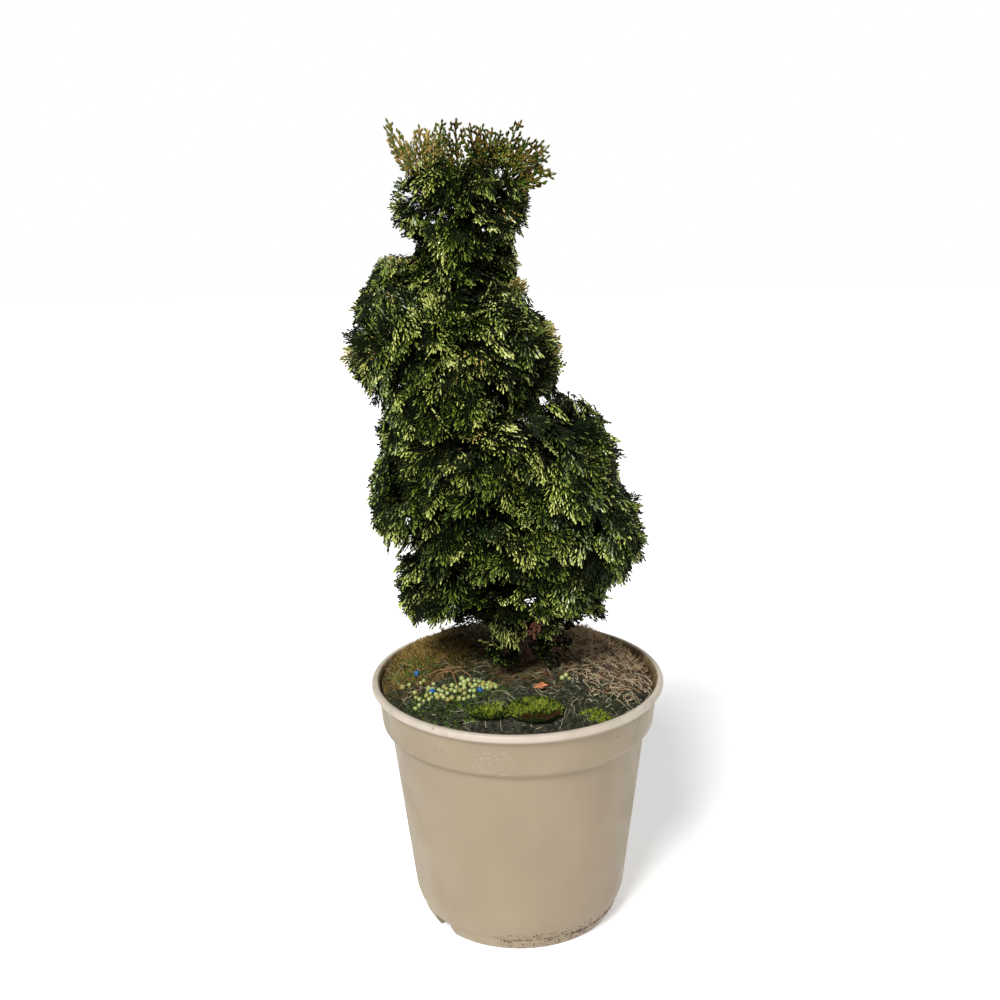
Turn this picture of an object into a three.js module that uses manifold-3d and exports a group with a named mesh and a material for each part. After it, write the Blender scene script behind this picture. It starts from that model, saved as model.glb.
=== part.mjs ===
// A dwarf cypress clipped to a loose spiral, about 0.76 m tall, in a round plastic nursery pot.
// Millimetres, +Z up, origin on the pot's axis at the underside. The front is -Y, the left side -X.
import * as THREE from "three";
import { mergeVertices } from "three/addons/utils/BufferGeometryUtils.js";
import Module from "manifold-3d";

const wasm = await Module();
wasm.setup();

// ---- Driving dimensions ----------------------------------------------------------------------

const GAP = 0.3; // running clearance between two solids that touch
const SEED = 20260;

const POT = {
  height: 244,
  lipRadius: 140,
  lipHeight: 7,
  lipWidth: 7,
  collarTopRadius: 134,
  collarBottomRadius: 130,
  collarBottom: 202,
  wallTopRadius: 122.5,
  wallTop: 196,
  wallBottomRadius: 102.8,
  wallBottom: 30,
  bandRadius: 97,
  bandHeight: 11.5,
  baseRadius: 90,
  wall: 2.5,
  floor: 3,
  segments: 36,
};
const NOTCH = { width: 24, height: 13.5, depth: 16, azimuths: [-142, 38] }; // drain notches, in degrees

const SOIL = {
  edge: 232,
  crown: 260,
  footRadius: 24,
  backRise: 36,
  leftRise: 3,
  lump: 2.2, // height of the humps of moss and litter, which lie about 35 mm apart
  rings: [24, 38, 52, 66, 80, 93, 105, 117],
};

const MOSS = [
  { name: "moss_cushion", at: [14, -96], radii: [25, 17], height: 12 },
  { name: "moss_patch", at: [-26, -100], radii: [19, 12], height: 5 },
];

const TRUNK = {
  top: 700,
  footX: -2,
  lean: -44, // how far the tip stands to the left of the foot
  straightFrom: 650, // the lean is done by this height
  sway: 3, // to the back and front
  baseRadius: 11,
  tipRadius: 2.6,
  flare: 5.5,
  flareHeight: 13,
  sides: 10,
};

const CORE_SHARE = { across: 0.78, up: 0.9 }; // radii of a mass's inner core against those of the mass
const SPRAY = { rootDepth: 7, shortest: 24, longest: 40, width: 28, thickness: 1.6, cup: 0.12, stand: 0.5 };
const SHRINK = [1, 0.72]; // a spray that leaves its mass's space is tried again at the smaller size
const STEM = { radius: 2.2, sides: 3 };

// The spiral: four lobes to a turn, winding down from the left of the shoulder, past the front.
const SIDES = ["left", "front", "right", "back"];
const LOBE_HEIGHT = {
  // of each lobe's middle, turn by turn
  left: [568, 495, 424, 342],
  front: [574, 488, 408, 332],
  right: [550, 462, 390, 318],
  back: [546, 444, 370, 322],
};
const LOBE_REACH = {
  // from the trunk's middle to the tips, turn by turn
  left: [108, 92, 118, 108],
  front: [92, 104, 114, 98],
  right: [79, 120, 133, 88],
  back: [88, 106, 116, 94],
};
const LOBE_HALF_HEIGHT = [50, 48, 49, 44];
const LOBE_DEPTH_SHARE = 0.5; // half a lobe's depth against its reach
const LOBE_WIDTH_SHARE = 0.7; // half its width, along the spiral
const FULLNESS = 2.7; // 2 is an ellipsoid; more is fuller at the corners
const BOUGH_REACH = 27; // from the trunk's middle to a bough's tip
const CORE_START = 30; // and to the near side of a lobe's core

// Masses close round the upper trunk and at its foot, by centre and radii.
const CLOSE = [
  { name: "head_left", centre: [-68, -6, 692], radii: [33, 38, 44] },
  { name: "head_right", centre: [-20, -4, 694], radii: [36, 38, 45] },
  { name: "head_back", centre: [-45, 28, 694], radii: [38, 34, 44] },
  { name: "head_front", centre: [-43, -30, 688], radii: [38, 32, 44] },
  { name: "neck_left", centre: [-76, 0, 620], radii: [52, 48, 37] },
  { name: "neck_right", centre: [-28, 0, 627], radii: [35, 42, 42] },
  { name: "foot_sprig_left", centre: [-14, -44, 288], radii: [19, 17, 22] },
  { name: "foot_sprig_right", centre: [34, -34, 284], radii: [19, 18, 17] },
];
const SPRAYS = { lobe: 30, close: 18 }; // tried on each mass; one that leaves its space is left out
const SPREAD = { lobe: 110, close: 150 }; // to each side of the outward direction, degrees

// The tall fronds that stand open on top of the head, by the places of their tips.
const FROND_TIPS = [
  [-112, 10, 761],
  [-107, -10, 750],
  [-79, -20, 755],
  [-74, 25, 751],
  [-61, 5, 760],
  [-48, 20, 759],
  [-37, -5, 756],
  [-25, 30, 754],
  [-22, -25, 751],
  [-10, 10, 750],
  [7, 8, 759],
  [25, -10, 743],
  [32, 5, 729],
  [-46, -34, 744],
  [4, 34, 740],
];
const FROND_WIDTH = 20;

const COLOURS = {
  pot: 0xb9a78c,
  soil: 0x4a3c2a,
  moss: 0x5c6b1f,
  bark: 0x6b4430,
  foliage: 0x3f5a1e,
};

// ---- Small tools -----------------------------------------------------------------------------

const v3 = (x, y, z) => new THREE.Vector3(x, y, z);
const UP = v3(0, 0, 1);
const radians = THREE.MathUtils.degToRad;
const mix = THREE.MathUtils.lerp;

/** A seeded generator of numbers from 0 to 1. */
function seededRandom(seed) {
  let state = seed >>> 0;
  return () => {
    state = (state + 0x6d2b79f5) >>> 0;
    let t = Math.imul(state ^ (state >>> 15), state | 1);
    t ^= t + Math.imul(t ^ (t >>> 7), t | 61);
    return ((t ^ (t >>> 14)) >>> 0) / 4294967296;
  };
}

/** A closed three.js geometry as a manifold-3d solid, turned right side out. */
function solid(geometry) {
  const bare = geometry.index ? geometry.toNonIndexed() : geometry.clone();
  const positions = new THREE.BufferGeometry().setAttribute("position", bare.getAttribute("position"));
  const merged = mergeVertices(positions, 1e-4);
  const triVerts = new Uint32Array(merged.index.array);
  const make = () =>
    new wasm.Manifold(
      new wasm.Mesh({ numProp: 3, vertProperties: merged.attributes.position.array, triVerts }),
    );
  const made = make();
  if (made.volume() > 0) return made;
  for (let i = 0; i < triVerts.length; i += 3)
    [triVerts[i + 1], triVerts[i + 2]] = [triVerts[i + 2], triVerts[i + 1]];
  return make();
}

/** The largest body of a solid: a cut can leave loose scraps, which are dropped. */
function largest(body) {
  return body.decompose().reduce((best, b) => (b.volume() > best.volume() ? b : best));
}

/** A solid as a named mesh in the part's frame. */
function meshOf(name, body, material) {
  const made = body.getMesh();
  const vertices = new Float32Array(made.numVert * 3);
  for (let i = 0; i < made.numVert; i++)
    vertices.set(made.vertProperties.subarray(i * made.numProp, i * made.numProp + 3), i * 3);
  const geometry = new THREE.BufferGeometry()
    .setAttribute("position", new THREE.BufferAttribute(vertices, 3))
    .setIndex(new THREE.BufferAttribute(new Uint32Array(made.triVerts), 1));
  geometry.computeVertexNormals();
  const mesh = new THREE.Mesh(geometry, material);
  mesh.name = name;
  return mesh;
}

function finish(colour, roughness) {
  return new THREE.MeshStandardMaterial({ color: colour, roughness, metalness: 0 });
}

/** A closed polyhedron from corner points and faces given as rings of corner numbers. */
function polyhedron(points, faces) {
  const corners = faces.flatMap((face) =>
    face.slice(2).flatMap((_, i) => [face[0], face[i + 1], face[i + 2]]),
  );
  const flat = corners.flatMap((i) => points[i].toArray());
  return new THREE.BufferGeometry().setAttribute("position", new THREE.Float32BufferAttribute(flat, 3));
}

/** A tapering limb with flat ends along a line of centres, one ring of corners at each. */
function limb(centres, radiusAt, sides, shapeAt = () => 1, level = false) {
  const last = centres.length - 1;
  const points = [];
  let side = null;
  centres.forEach((centre, i) => {
    const onward = centres[Math.min(i + 1, last)].clone().sub(centres[Math.max(i - 1, 0)]).normalize();
    const along = level ? UP : onward;
    if (!side) side = Math.abs(along.x) < 0.9 ? v3(1, 0, 0) : v3(0, 1, 0);
    side = side.clone().addScaledVector(along, -side.dot(along)).normalize();
    const other = along.clone().cross(side);
    for (let k = 0; k < sides; k++) {
      const angle = (2 * Math.PI * k) / sides;
      const radius = radiusAt(i / last) * shapeAt(i / last, angle);
      points.push(
        centre
          .clone()
          .addScaledVector(side, radius * Math.cos(angle))
          .addScaledVector(other, radius * Math.sin(angle)),
      );
    }
  });
  const faces = [];
  for (let i = 0; i < last; i++)
    for (let k = 0; k < sides; k++) {
      const a = i * sides + k;
      const b = i * sides + ((k + 1) % sides);
      faces.push([a, b, b + sides, a + sides]);
    }
  faces.push([...Array(sides).keys()].reverse());
  faces.push([...Array(sides).keys()].map((k) => last * sides + k));
  return polyhedron(points, faces);
}

// ---- The pot and what it holds ---------------------------------------------------------------

/** The wall's outer outline from the underside up to the lip, as [radius, height]. */
function potOutside() {
  const p = POT;
  return [
    [p.baseRadius, 0],
    [p.baseRadius + 2.6, 4],
    [p.bandRadius - 0.8, p.bandHeight - 1],
    [p.bandRadius - 1.6, p.bandHeight],
    [p.wallBottomRadius - 2.6, 21],
    [p.wallBottomRadius, p.wallBottom],
    [mix(p.wallBottomRadius, p.wallTopRadius, 0.5), mix(p.wallBottom, p.wallTop, 0.5)],
    [p.wallTopRadius, p.wallTop],
    [p.collarBottomRadius - 2, p.collarBottom - 2.5],
    [p.collarBottomRadius, p.collarBottom],
    [p.collarBottomRadius + 1.8, 218],
    [p.collarTopRadius, p.height - p.lipHeight - 4],
    [p.lipRadius - 1, p.height - p.lipHeight],
    [p.lipRadius, p.height - p.lipHeight * 0.6],
    [p.lipRadius - 1.2, p.height - 1],
    [p.lipRadius - 3.4, p.height],
  ];
}

/** The wall's inner outline from the lip down to the floor. */
function potInside() {
  const p = POT;
  return [
    [p.lipRadius - p.lipWidth, p.height - 0.6],
    [p.collarTopRadius - p.wall, p.height - 5],
    [p.collarBottomRadius - p.wall, p.collarBottom],
    [p.wallTopRadius - p.wall, p.wallTop - 1],
    [p.wallBottomRadius - p.wall, p.wallBottom],
    [p.bandRadius - p.wall - 2, p.bandHeight],
    [p.baseRadius - p.wall, p.floor],
  ];
}

function turned(outline, segments) {
  const points = outline.map(([radius, height]) => new THREE.Vector2(radius, height));
  return new THREE.LatheGeometry(points, segments).rotateX(Math.PI / 2);
}

function potSolid() {
  const outline = [[0, 0], ...potOutside(), ...potInside(), [0, POT.floor]];
  let shell = solid(turned(outline, POT.segments));
  for (const azimuth of NOTCH.azimuths) {
    const cutter = new THREE.BoxGeometry(NOTCH.depth, NOTCH.width, 2 * NOTCH.height)
      .translate(POT.bandRadius, 0, 0)
      .rotateZ(radians(azimuth));
    shell = shell.subtract(solid(cutter));
  }
  return shell;
}

/** Humps of moss and litter on the soil, which level out at the trunk's foot and at the rim. */
function soilLump(x, y) {
  const out = Math.hypot(x, y);
  const level = THREE.MathUtils.smoothstep(out, SOIL.footRadius, 46) * (1 - THREE.MathUtils.smoothstep(out, 108, 130));
  const humps = Math.sin(x / 8.6 + 1.3) * Math.cos(y / 9.4 - 0.6) + 0.6 * Math.cos((x - y) / 13 + 0.4);
  return SOIL.lump * level * humps;
}

/** Height of the soil's surface: a mound round the trunk's foot that stays high to the back. */
function soilHeight(x, y) {
  const rim = POT.collarTopRadius;
  const beyondFoot = Math.max(0, Math.hypot(x, y) - SOIL.footRadius);
  const share = Math.min(1, beyondFoot / (rim - SOIL.footRadius));
  const mound = (SOIL.crown - SOIL.edge) * (1 - share ** 2.2);
  const back = SOIL.backRise * 0.5 * (1 + y / rim) * share * (1 - share ** 3);
  return SOIL.edge + mound + back - (SOIL.leftRise * share * x) / rim + soilLump(x, y);
}

function soilSolid() {
  const inside = potInside().slice(2).reverse();
  const side = inside.map(([radius, height]) => [radius - GAP, height + GAP]);
  const edgeRadius = mix(POT.collarBottomRadius, POT.collarTopRadius, 0.75) - POT.wall - GAP;
  side.push([edgeRadius, SOIL.edge]);
  const top = [...SOIL.rings].reverse().map((radius) => [radius, SOIL.edge + 10]);
  const outline = [[0, side[0][1]], ...side, ...top, [0, SOIL.edge + 10]];
  const geometry = turned(outline, POT.segments);
  const spots = geometry.getAttribute("position");
  for (let i = 0; i < spots.count; i++)
    if (spots.getZ(i) >= SOIL.edge + 5) spots.setZ(i, soilHeight(spots.getX(i), spots.getY(i)));
  return solid(geometry);
}

function mossSolid({ at, radii, height }, soil) {
  const ground = soilHeight(at[0], at[1]);
  const dome = new THREE.SphereGeometry(1, 12, 8)
    .rotateX(Math.PI / 2)
    .scale(radii[0], radii[1], height + 6)
    .translate(at[0], at[1], ground - 6);
  return largest(solid(dome).subtract(soil.translate(0, 0, GAP)));
}

// ---- Trunk and boughs ------------------------------------------------------------------------

const TRUNK_FOOT = SOIL.crown + GAP;

/** Middle of the trunk at a height: it stands straight, leans to the left and straightens again. */
function trunkAt(height) {
  const share = (height - TRUNK_FOOT) / (TRUNK.top - TRUNK_FOOT);
  const lean = TRUNK.lean * THREE.MathUtils.smoothstep(height, TRUNK_FOOT, TRUNK.straightFrom);
  return v3(TRUNK.footX + lean, TRUNK.sway * Math.sin(2 * Math.PI * share), height);
}

function trunkRadius(height) {
  const above = Math.max(0, height - TRUNK_FOOT);
  const share = Math.min(1, above / (TRUNK.top - TRUNK_FOOT));
  return mix(TRUNK.baseRadius, TRUNK.tipRadius, share ** 0.8) + TRUNK.flare * Math.exp(-above / TRUNK.flareHeight);
}

function trunkSolid(swell = 0) {
  const heights = [0, 6, 14, 26];
  for (let i = 1; i <= 11; i++) heights.push(mix(26, TRUNK.top - TRUNK_FOOT, i / 11));
  const centres = heights.map((h) => trunkAt(TRUNK_FOOT + h));
  if (swell) {
    centres[0].z -= swell;
    centres[centres.length - 1].z += swell;
  }
  const last = heights.length - 1;
  const radiusAt = (share) => trunkRadius(TRUNK_FOOT + heights[Math.round(share * last)]) + swell;
  const buttress = (share, angle) =>
    1 + 0.16 * Math.exp(-heights[Math.round(share * last)] / 10) * Math.cos(3 * angle + 0.6);
  return solid(limb(centres, radiusAt, TRUNK.sides, buttress, true));
}

/** The bough that carries a lobe: it leaves the trunk low and sweeps out and up to the lobe's core. */
function boughCurve(mass) {
  const tip = trunkAt(mass.centre.z - 4).addScaledVector(mass.outward, BOUGH_REACH);
  const root = trunkAt(tip.z - 0.8 * BOUGH_REACH);
  const bend = root.clone().lerp(tip, 0.6).addScaledVector(UP, -0.14 * BOUGH_REACH);
  return new THREE.QuadraticBezierCurve3(root, bend, tip);
}

function boughRadius(mass) {
  return mix(4.6, 3, THREE.MathUtils.clamp((mass.centre.z - 330) / 370, 0, 1));
}

function boughSolid(mass, swell = 0) {
  const centres = mass.bough.getPoints(4);
  if (swell) {
    const onward = centres[4].clone().sub(centres[3]).normalize();
    centres[4].addScaledVector(onward, swell - 0.05);
  }
  const thick = boughRadius(mass);
  return solid(limb(centres, (share) => mix(thick, 0.6 * thick, share) + swell, 6));
}

// ---- Masses of foliage -----------------------------------------------------------------------

/** Distance from a mass's centre in a direction to its outer limit, or to its core's with smaller radii. */
function radiusAlong(radii, direction) {
  const parts = ["x", "y", "z"].map((axis) => Math.abs(direction[axis] / radii[axis]) ** FULLNESS);
  return (parts[0] + parts[1] + parts[2]) ** (-1 / FULLNESS);
}

function massOf({ name, centre, radii }, kind) {
  const middle = v3(...centre);
  const outward = middle.clone().sub(trunkAt(middle.z)).setZ(0);
  const offset = outward.length();
  const outer = v3(...radii);
  const coreRadii = v3(CORE_SHARE.across, CORE_SHARE.across, CORE_SHARE.up).multiply(outer);
  return { name, kind, centre: middle, radii: outer, coreRadii, offset, outward: outward.normalize() };
}

/** One lobe of the spiral, from its number along it. */
function spiralLobe(number) {
  const quarter = number % SIDES.length;
  const turn = Math.floor(number / SIDES.length);
  const side = SIDES[quarter];
  const height = LOBE_HEIGHT[side][turn];
  const reach = LOBE_REACH[side][turn];
  const depth = LOBE_DEPTH_SHARE * reach;
  const width = LOBE_WIDTH_SHARE * reach;
  const angle = radians(180 + 90 * quarter);
  const offset = reach - depth;
  const centre = trunkAt(height).add(v3(offset * Math.cos(angle), offset * Math.sin(angle), 0));
  const across = quarter % 2 ? [width, depth] : [depth, width];
  const radii = [...across, LOBE_HALF_HEIGHT[turn]];
  return massOf({ name: `turn${turn + 1}_${side}`, centre: centre.toArray(), radii }, "lobe");
}

function allMasses() {
  const lobes = [...Array(SIDES.length * LOBE_HALF_HEIGHT.length).keys()].map(spiralLobe);
  return [...lobes, ...CLOSE.map((mass) => massOf(mass, "close"))];
}

/** The planes that bound each mass's own space, one midway to each neighbour. */
function boundingPlanes(mass, masses) {
  const planes = [];
  for (const other of masses) {
    if (other === mass) continue;
    const away = other.centre.clone().sub(mass.centre);
    const apart = away.length();
    away.divideScalar(apart);
    const here = radiusAlong(mass.radii, away);
    const there = radiusAlong(other.radii, away.clone().negate());
    const share = THREE.MathUtils.clamp(0.5 + (here * here - there * there) / (2 * apart * apart), 0.3, 0.7);
    planes.push({ normal: away, limit: away.dot(mass.centre) + share * apart - GAP });
  }
  return planes;
}

function insideSpace(mass, point) {
  return mass.planes.every((p) => p.normal.dot(point) <= p.limit);
}

/** How far a mass's own space goes from its centre in a direction. */
function spaceAlong(mass, direction) {
  let reach = Infinity;
  for (const plane of mass.planes) {
    const slope = plane.normal.dot(direction);
    if (slope > 1e-6) reach = Math.min(reach, (plane.limit - plane.normal.dot(mass.centre)) / slope);
  }
  return reach;
}

/** How far the core goes: a share of the mass, not past its space, nor nearer the trunk than allowed. */
function coreAlong(mass, direction) {
  const inward = -mass.outward.dot(direction);
  const nearSide = mass.kind === "lobe" && inward > 1e-6 ? (mass.offset - CORE_START) / inward : Infinity;
  return Math.min(radiusAlong(mass.coreRadii, direction), spaceAlong(mass, direction), nearSide);
}

/** The smaller core that the sprays stand out of, kept inside the mass's own space. */
function coreSolid(mass) {
  const geometry = new THREE.IcosahedronGeometry(1, 1);
  const spots = geometry.getAttribute("position");
  const direction = v3(0, 0, 0);
  for (let i = 0; i < spots.count; i++) {
    direction.fromBufferAttribute(spots, i).normalize();
    const spot = mass.centre.clone().addScaledVector(direction, coreAlong(mass, direction));
    spot.z = Math.max(spot.z, soilHeight(spot.x, spot.y) + 2);
    spots.setXYZ(i, ...spot.toArray());
  }
  return solid(geometry);
}

/** A spray: a thin cupped fan with three teeth, thickest in the middle. */
function spraySolid({ root, axis, side, length, width, cup }) {
  const normal = side.clone().cross(axis).normalize();
  const at = (along, across, lift = 0) =>
    root
      .clone()
      .addScaledVector(axis, along * length)
      .addScaledVector(side, across * width)
      .addScaledVector(normal, lift - cup * length * (along * along + across * across));
  const half = SPRAY.thickness / 2;
  const rim = [at(0, 0), at(0.72, -0.5), at(0.74, -0.2), at(1, 0), at(0.74, 0.2), at(0.72, 0.5)];
  const points = [...rim, at(0.5, 0, half), at(0.5, 0, -half)];
  const faces = rim.flatMap((_, i) => {
    const next = (i + 1) % rim.length;
    return [
      [i, next, rim.length],
      [next, i, rim.length + 1],
    ];
  });
  return { points, body: solid(polyhedron(points, faces)) };
}

const TURN_STEP = 0.5698402909980532; // these two steps spread any number of sprays evenly
const RISE_STEP = 0.7548776662466927;

/** The rule that places spray number k of a mass, or null where the mass's space is walled off. */
function sprayAt(mass, k, random) {
  const sway = [random() - 0.5, random() - 0.5, random(), random() - 0.5];
  const up = mix(-0.8, 0.97, (0.45 + k * RISE_STEP) % 1);
  const spread = radians(SPREAD[mass.kind]);
  const turn = mix(-spread, spread, (0.5 + k * TURN_STEP) % 1);
  const azimuth = Math.atan2(mass.outward.y, mass.outward.x) + turn + 0.3 * sway[0];
  const flat = Math.sqrt(1 - up * up);
  const direction = v3(flat * Math.cos(azimuth), flat * Math.sin(azimuth), up);
  const core = coreAlong(mass, direction);
  const reach = Math.min(radiusAlong(mass.radii, direction) * mix(0.95, 1.04, sway[2]), spaceAlong(mass, direction));
  if (reach < core + 2) return null;
  const root = mass.centre.clone().addScaledVector(direction, core - SPRAY.rootDepth);
  const level = direction.clone().cross(UP).normalize();
  const uphill = level.clone().cross(direction);
  const turned = 2.4 * sway[1];
  const along = uphill.multiplyScalar(Math.cos(turned)).addScaledVector(level, Math.sin(turned));
  const axis = direction.clone().multiplyScalar(SPRAY.stand).addScaledVector(along, 1 - SPRAY.stand).normalize();
  const across = axis.clone().cross(direction).normalize();
  const outside = across.clone().cross(axis);
  const roll = 1.3 * sway[3];
  const side = across.multiplyScalar(Math.cos(roll)).addScaledVector(outside, Math.sin(roll));
  const full = (reach - core + SPRAY.rootDepth) / axis.dot(direction);
  const length = THREE.MathUtils.clamp(full, SPRAY.shortest, SPRAY.longest);
  return { root, axis, side, length, width: SPRAY.width, cup: SPRAY.cup };
}

/** A tall frond from the core's top to a named tip, broad side to the front or back. */
function frondTo(mass, tip, random) {
  const direction = tip.clone().sub(mass.centre).normalize();
  const root = mass.centre.clone().addScaledVector(direction, coreAlong(mass, direction) - SPRAY.rootDepth);
  const axis = tip.clone().sub(root).normalize();
  const side = axis.clone().cross(v3(random() - 0.5, 1, random() - 0.5)).normalize();
  return { root, axis, side, length: tip.distanceTo(root), width: FROND_WIDTH, cup: 0 };
}

/** Whether all corners of a spray keep to the mass's space, off the soil and clear of the limbs. */
function fits(mass, points) {
  return points.every((p) => {
    const offTrunk = p.distanceTo(trunkAt(p.z)) > trunkRadius(p.z) + 1.5;
    return offTrunk && p.z > soilHeight(p.x, p.y) + 2 && insideSpace(mass, p);
  });
}

/** The stem of a mass, from just clear of its bough's tip or the trunk to the middle of its core. */
function stemSolid({ stemStart, centre }, swell = 0) {
  const along = centre.clone().sub(stemStart).normalize();
  const start = stemStart.clone().addScaledVector(along, GAP - swell);
  return solid(limb([start, centre], (share) => STEM.radius * mix(1, 0.7, share) + 2 * swell, STEM.sides));
}

/** A spray's blade at the first size that fits the mass's space, or null. */
function fittedBlade(mass, spray) {
  for (const scale of SHRINK) {
    const blade = spraySolid({ ...spray, length: scale * spray.length, width: scale * spray.width });
    if (fits(mass, blade.points)) return blade.body;
  }
  return null;
}

/** A dense mass: core, stem and sprays fused, then cut clear of every limb. */
function denseMass(mass, number, limbs) {
  const random = seededRandom(SEED + number);
  const sprays = [];
  for (let k = 0; k < SPRAYS[mass.kind]; k++) sprays.push(sprayAt(mass, k, random));
  for (const place of FROND_TIPS) {
    const tip = v3(...place);
    const near = tip.distanceTo(mass.centre) < 2 * mass.radii.z;
    if (near && insideSpace(mass, tip)) sprays.push(frondTo(mass, tip, random));
  }
  const blades = sprays.filter(Boolean).map((spray) => fittedBlade(mass, spray));
  const pieces = [coreSolid(mass), stemSolid(mass), ...blades.filter(Boolean)];
  let body = wasm.Manifold.union(pieces);
  for (const wood of limbs) body = body.subtract(wood);
  return largest(body);
}

// ---- Assembly --------------------------------------------------------------------------------

const group = new THREE.Group();
const plastic = finish(COLOURS.pot, 0.5);
const earth = finish(COLOURS.soil, 0.95);
const mossy = finish(COLOURS.moss, 0.95);
const bark = finish(COLOURS.bark, 0.85);
const needles = finish(COLOURS.foliage, 0.7);

const soil = soilSolid();
group.add(meshOf("pot", potSolid(), plastic));
group.add(meshOf("soil", soil, earth));
for (const cushion of MOSS) group.add(meshOf(cushion.name, mossSolid(cushion, soil), mossy));

group.add(meshOf("trunk", trunkSolid(), bark));

const masses = allMasses();
const limbSpaces = [trunkSolid(GAP)];
for (const mass of masses) {
  mass.planes = boundingPlanes(mass, masses);
  if (mass.kind !== "lobe") continue;
  mass.bough = boughCurve(mass);
  group.add(meshOf(`bough_${mass.name}`, largest(boughSolid(mass).subtract(limbSpaces[0])), bark));
}
for (const mass of masses) if (mass.bough) limbSpaces.push(boughSolid(mass, GAP));

for (const mass of masses) {
  const trunkSide = trunkAt(mass.centre.z).addScaledVector(mass.outward, trunkRadius(mass.centre.z));
  mass.stemStart = mass.bough ? mass.bough.getPoint(1) : trunkSide;
}
masses.forEach((mass, number) => {
  const otherStems = masses.filter((other) => other !== mass).map((other) => stemSolid(other, GAP));
  const body = denseMass(mass, number, [...limbSpaces, ...otherStems]);
  group.add(meshOf(mass.name, body, needles));
});

export default group;
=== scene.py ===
"""A dwarf cypress clipped to a loose spiral, in a round plastic nursery pot: the dressed model.

Sizes are millimetres in the classes and become metres when a mesh is made. +Z is up, the front
is -Y and the left side -X, with the origin on the pot's axis at its underside.
"""

from __future__ import annotations

import logging
import math
from dataclasses import dataclass, field
from enum import Enum
from typing import Callable, Sequence

import bpy
import numpy as np
from mathutils import Matrix, Vector
from numpy.typing import NDArray

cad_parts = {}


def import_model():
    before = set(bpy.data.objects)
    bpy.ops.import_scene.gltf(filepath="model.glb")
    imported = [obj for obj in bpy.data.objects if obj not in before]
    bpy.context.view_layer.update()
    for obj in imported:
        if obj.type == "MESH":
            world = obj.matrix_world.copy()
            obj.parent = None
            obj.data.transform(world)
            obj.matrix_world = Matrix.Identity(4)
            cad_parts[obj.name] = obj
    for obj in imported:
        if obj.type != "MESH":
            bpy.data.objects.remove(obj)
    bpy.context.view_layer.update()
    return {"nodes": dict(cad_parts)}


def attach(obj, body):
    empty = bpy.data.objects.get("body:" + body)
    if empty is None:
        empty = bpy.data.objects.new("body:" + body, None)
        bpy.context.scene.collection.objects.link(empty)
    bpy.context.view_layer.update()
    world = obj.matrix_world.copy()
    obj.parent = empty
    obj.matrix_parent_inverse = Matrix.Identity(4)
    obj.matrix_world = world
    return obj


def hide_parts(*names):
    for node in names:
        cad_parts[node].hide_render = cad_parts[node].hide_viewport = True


LOG = logging.getLogger("spiral_topiary")
Array = NDArray[np.float64]
Faces = NDArray[np.int32]
Spot = tuple[float, float, float]
Rows = tuple[tuple[Spot, Spot], ...]
MM = 0.001
SEED = 20260


# ---- Small tools ------------------------------------------------------------------------------


def linear(code: str) -> tuple[float, float, float, float]:
    """A colour code such as b9a78c as linear red, green, blue and a full alpha."""
    parts = [int(code[i : i + 2], 16) / 255 for i in (0, 2, 4)]
    shades = [p / 12.92 if p <= 0.04045 else ((p + 0.055) / 1.055) ** 2.4 for p in parts]
    return (shades[0], shades[1], shades[2], 1.0)


def unit(vectors: Array) -> Array:
    """Each vector divided by its length."""
    return vectors / np.maximum(np.linalg.norm(vectors, axis=-1, keepdims=True), 1e-9)


def smooth_share(value: Array | float, low: float, high: float) -> Array:
    """0 below low, 1 above high, and 3t^2 - 2t^3 between them."""
    share = np.clip((np.asarray(value, float) - low) / (high - low), 0, 1)
    return share * share * (3 - 2 * share)


def mix(a: Array | float, b: Array | float, share: Array | float) -> Array:
    """a + (b - a) * share."""
    return a + (b - a) * share


def ripple(points: Array, pitch: float | Sequence[float], seed: int = 0) -> Array:
    """Smooth noise from -1 to 1.

    A number is hashed at each corner of a lattice of the given pitch, and the eight corners
    round a point are blended with the weight 3t^2 - 2t^3 on each axis.

    Args:
        points: places, in millimetres, with x, y and z last.
        pitch: the lattice's spacing, one for all axes or one for each.
        seed: picks another pattern.

    Returns:
        One number for each place.
    """
    spots = np.asarray(points, float) / np.asarray(pitch, float) + 31.7 * seed
    cell = np.floor(spots).astype(np.int64)
    part = spots - cell
    part = part * part * (3 - 2 * part)
    total = np.zeros(spots.shape[:-1])
    for corner in np.ndindex(2, 2, 2):
        x, y, z = (cell[..., axis] + corner[axis] for axis in range(3))
        number = (x * 73856093) ^ (y * 19349663) ^ (z * 83492791)
        number = ((number ^ (number >> 13)) * 1274126177) & 0xFFFFFF
        weight = np.ones(spots.shape[:-1])
        for axis in range(3):
            weight = weight * (part[..., axis] if corner[axis] else 1 - part[..., axis])
        total += weight * number / 0xFFFFFF
    return 2 * total - 1


class Stream:
    """A seeded stream of numbers from 0 to 1: a 32-bit state that is stepped and mixed."""

    def __init__(self, seed: int) -> None:
        """Starts the stream."""
        self.state = seed & 0xFFFFFFFF

    def next(self) -> float:
        """The next number.

        Returns:
            The number.
        """
        self.state = (self.state + 0x6D2B79F5) & 0xFFFFFFFF
        t = ((self.state ^ (self.state >> 15)) * (self.state | 1)) & 0xFFFFFFFF
        t ^= (t + (((t ^ (t >> 7)) * (t | 61)) & 0xFFFFFFFF)) & 0xFFFFFFFF
        return ((t ^ (t >> 14)) & 0xFFFFFFFF) / 4294967296


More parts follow.
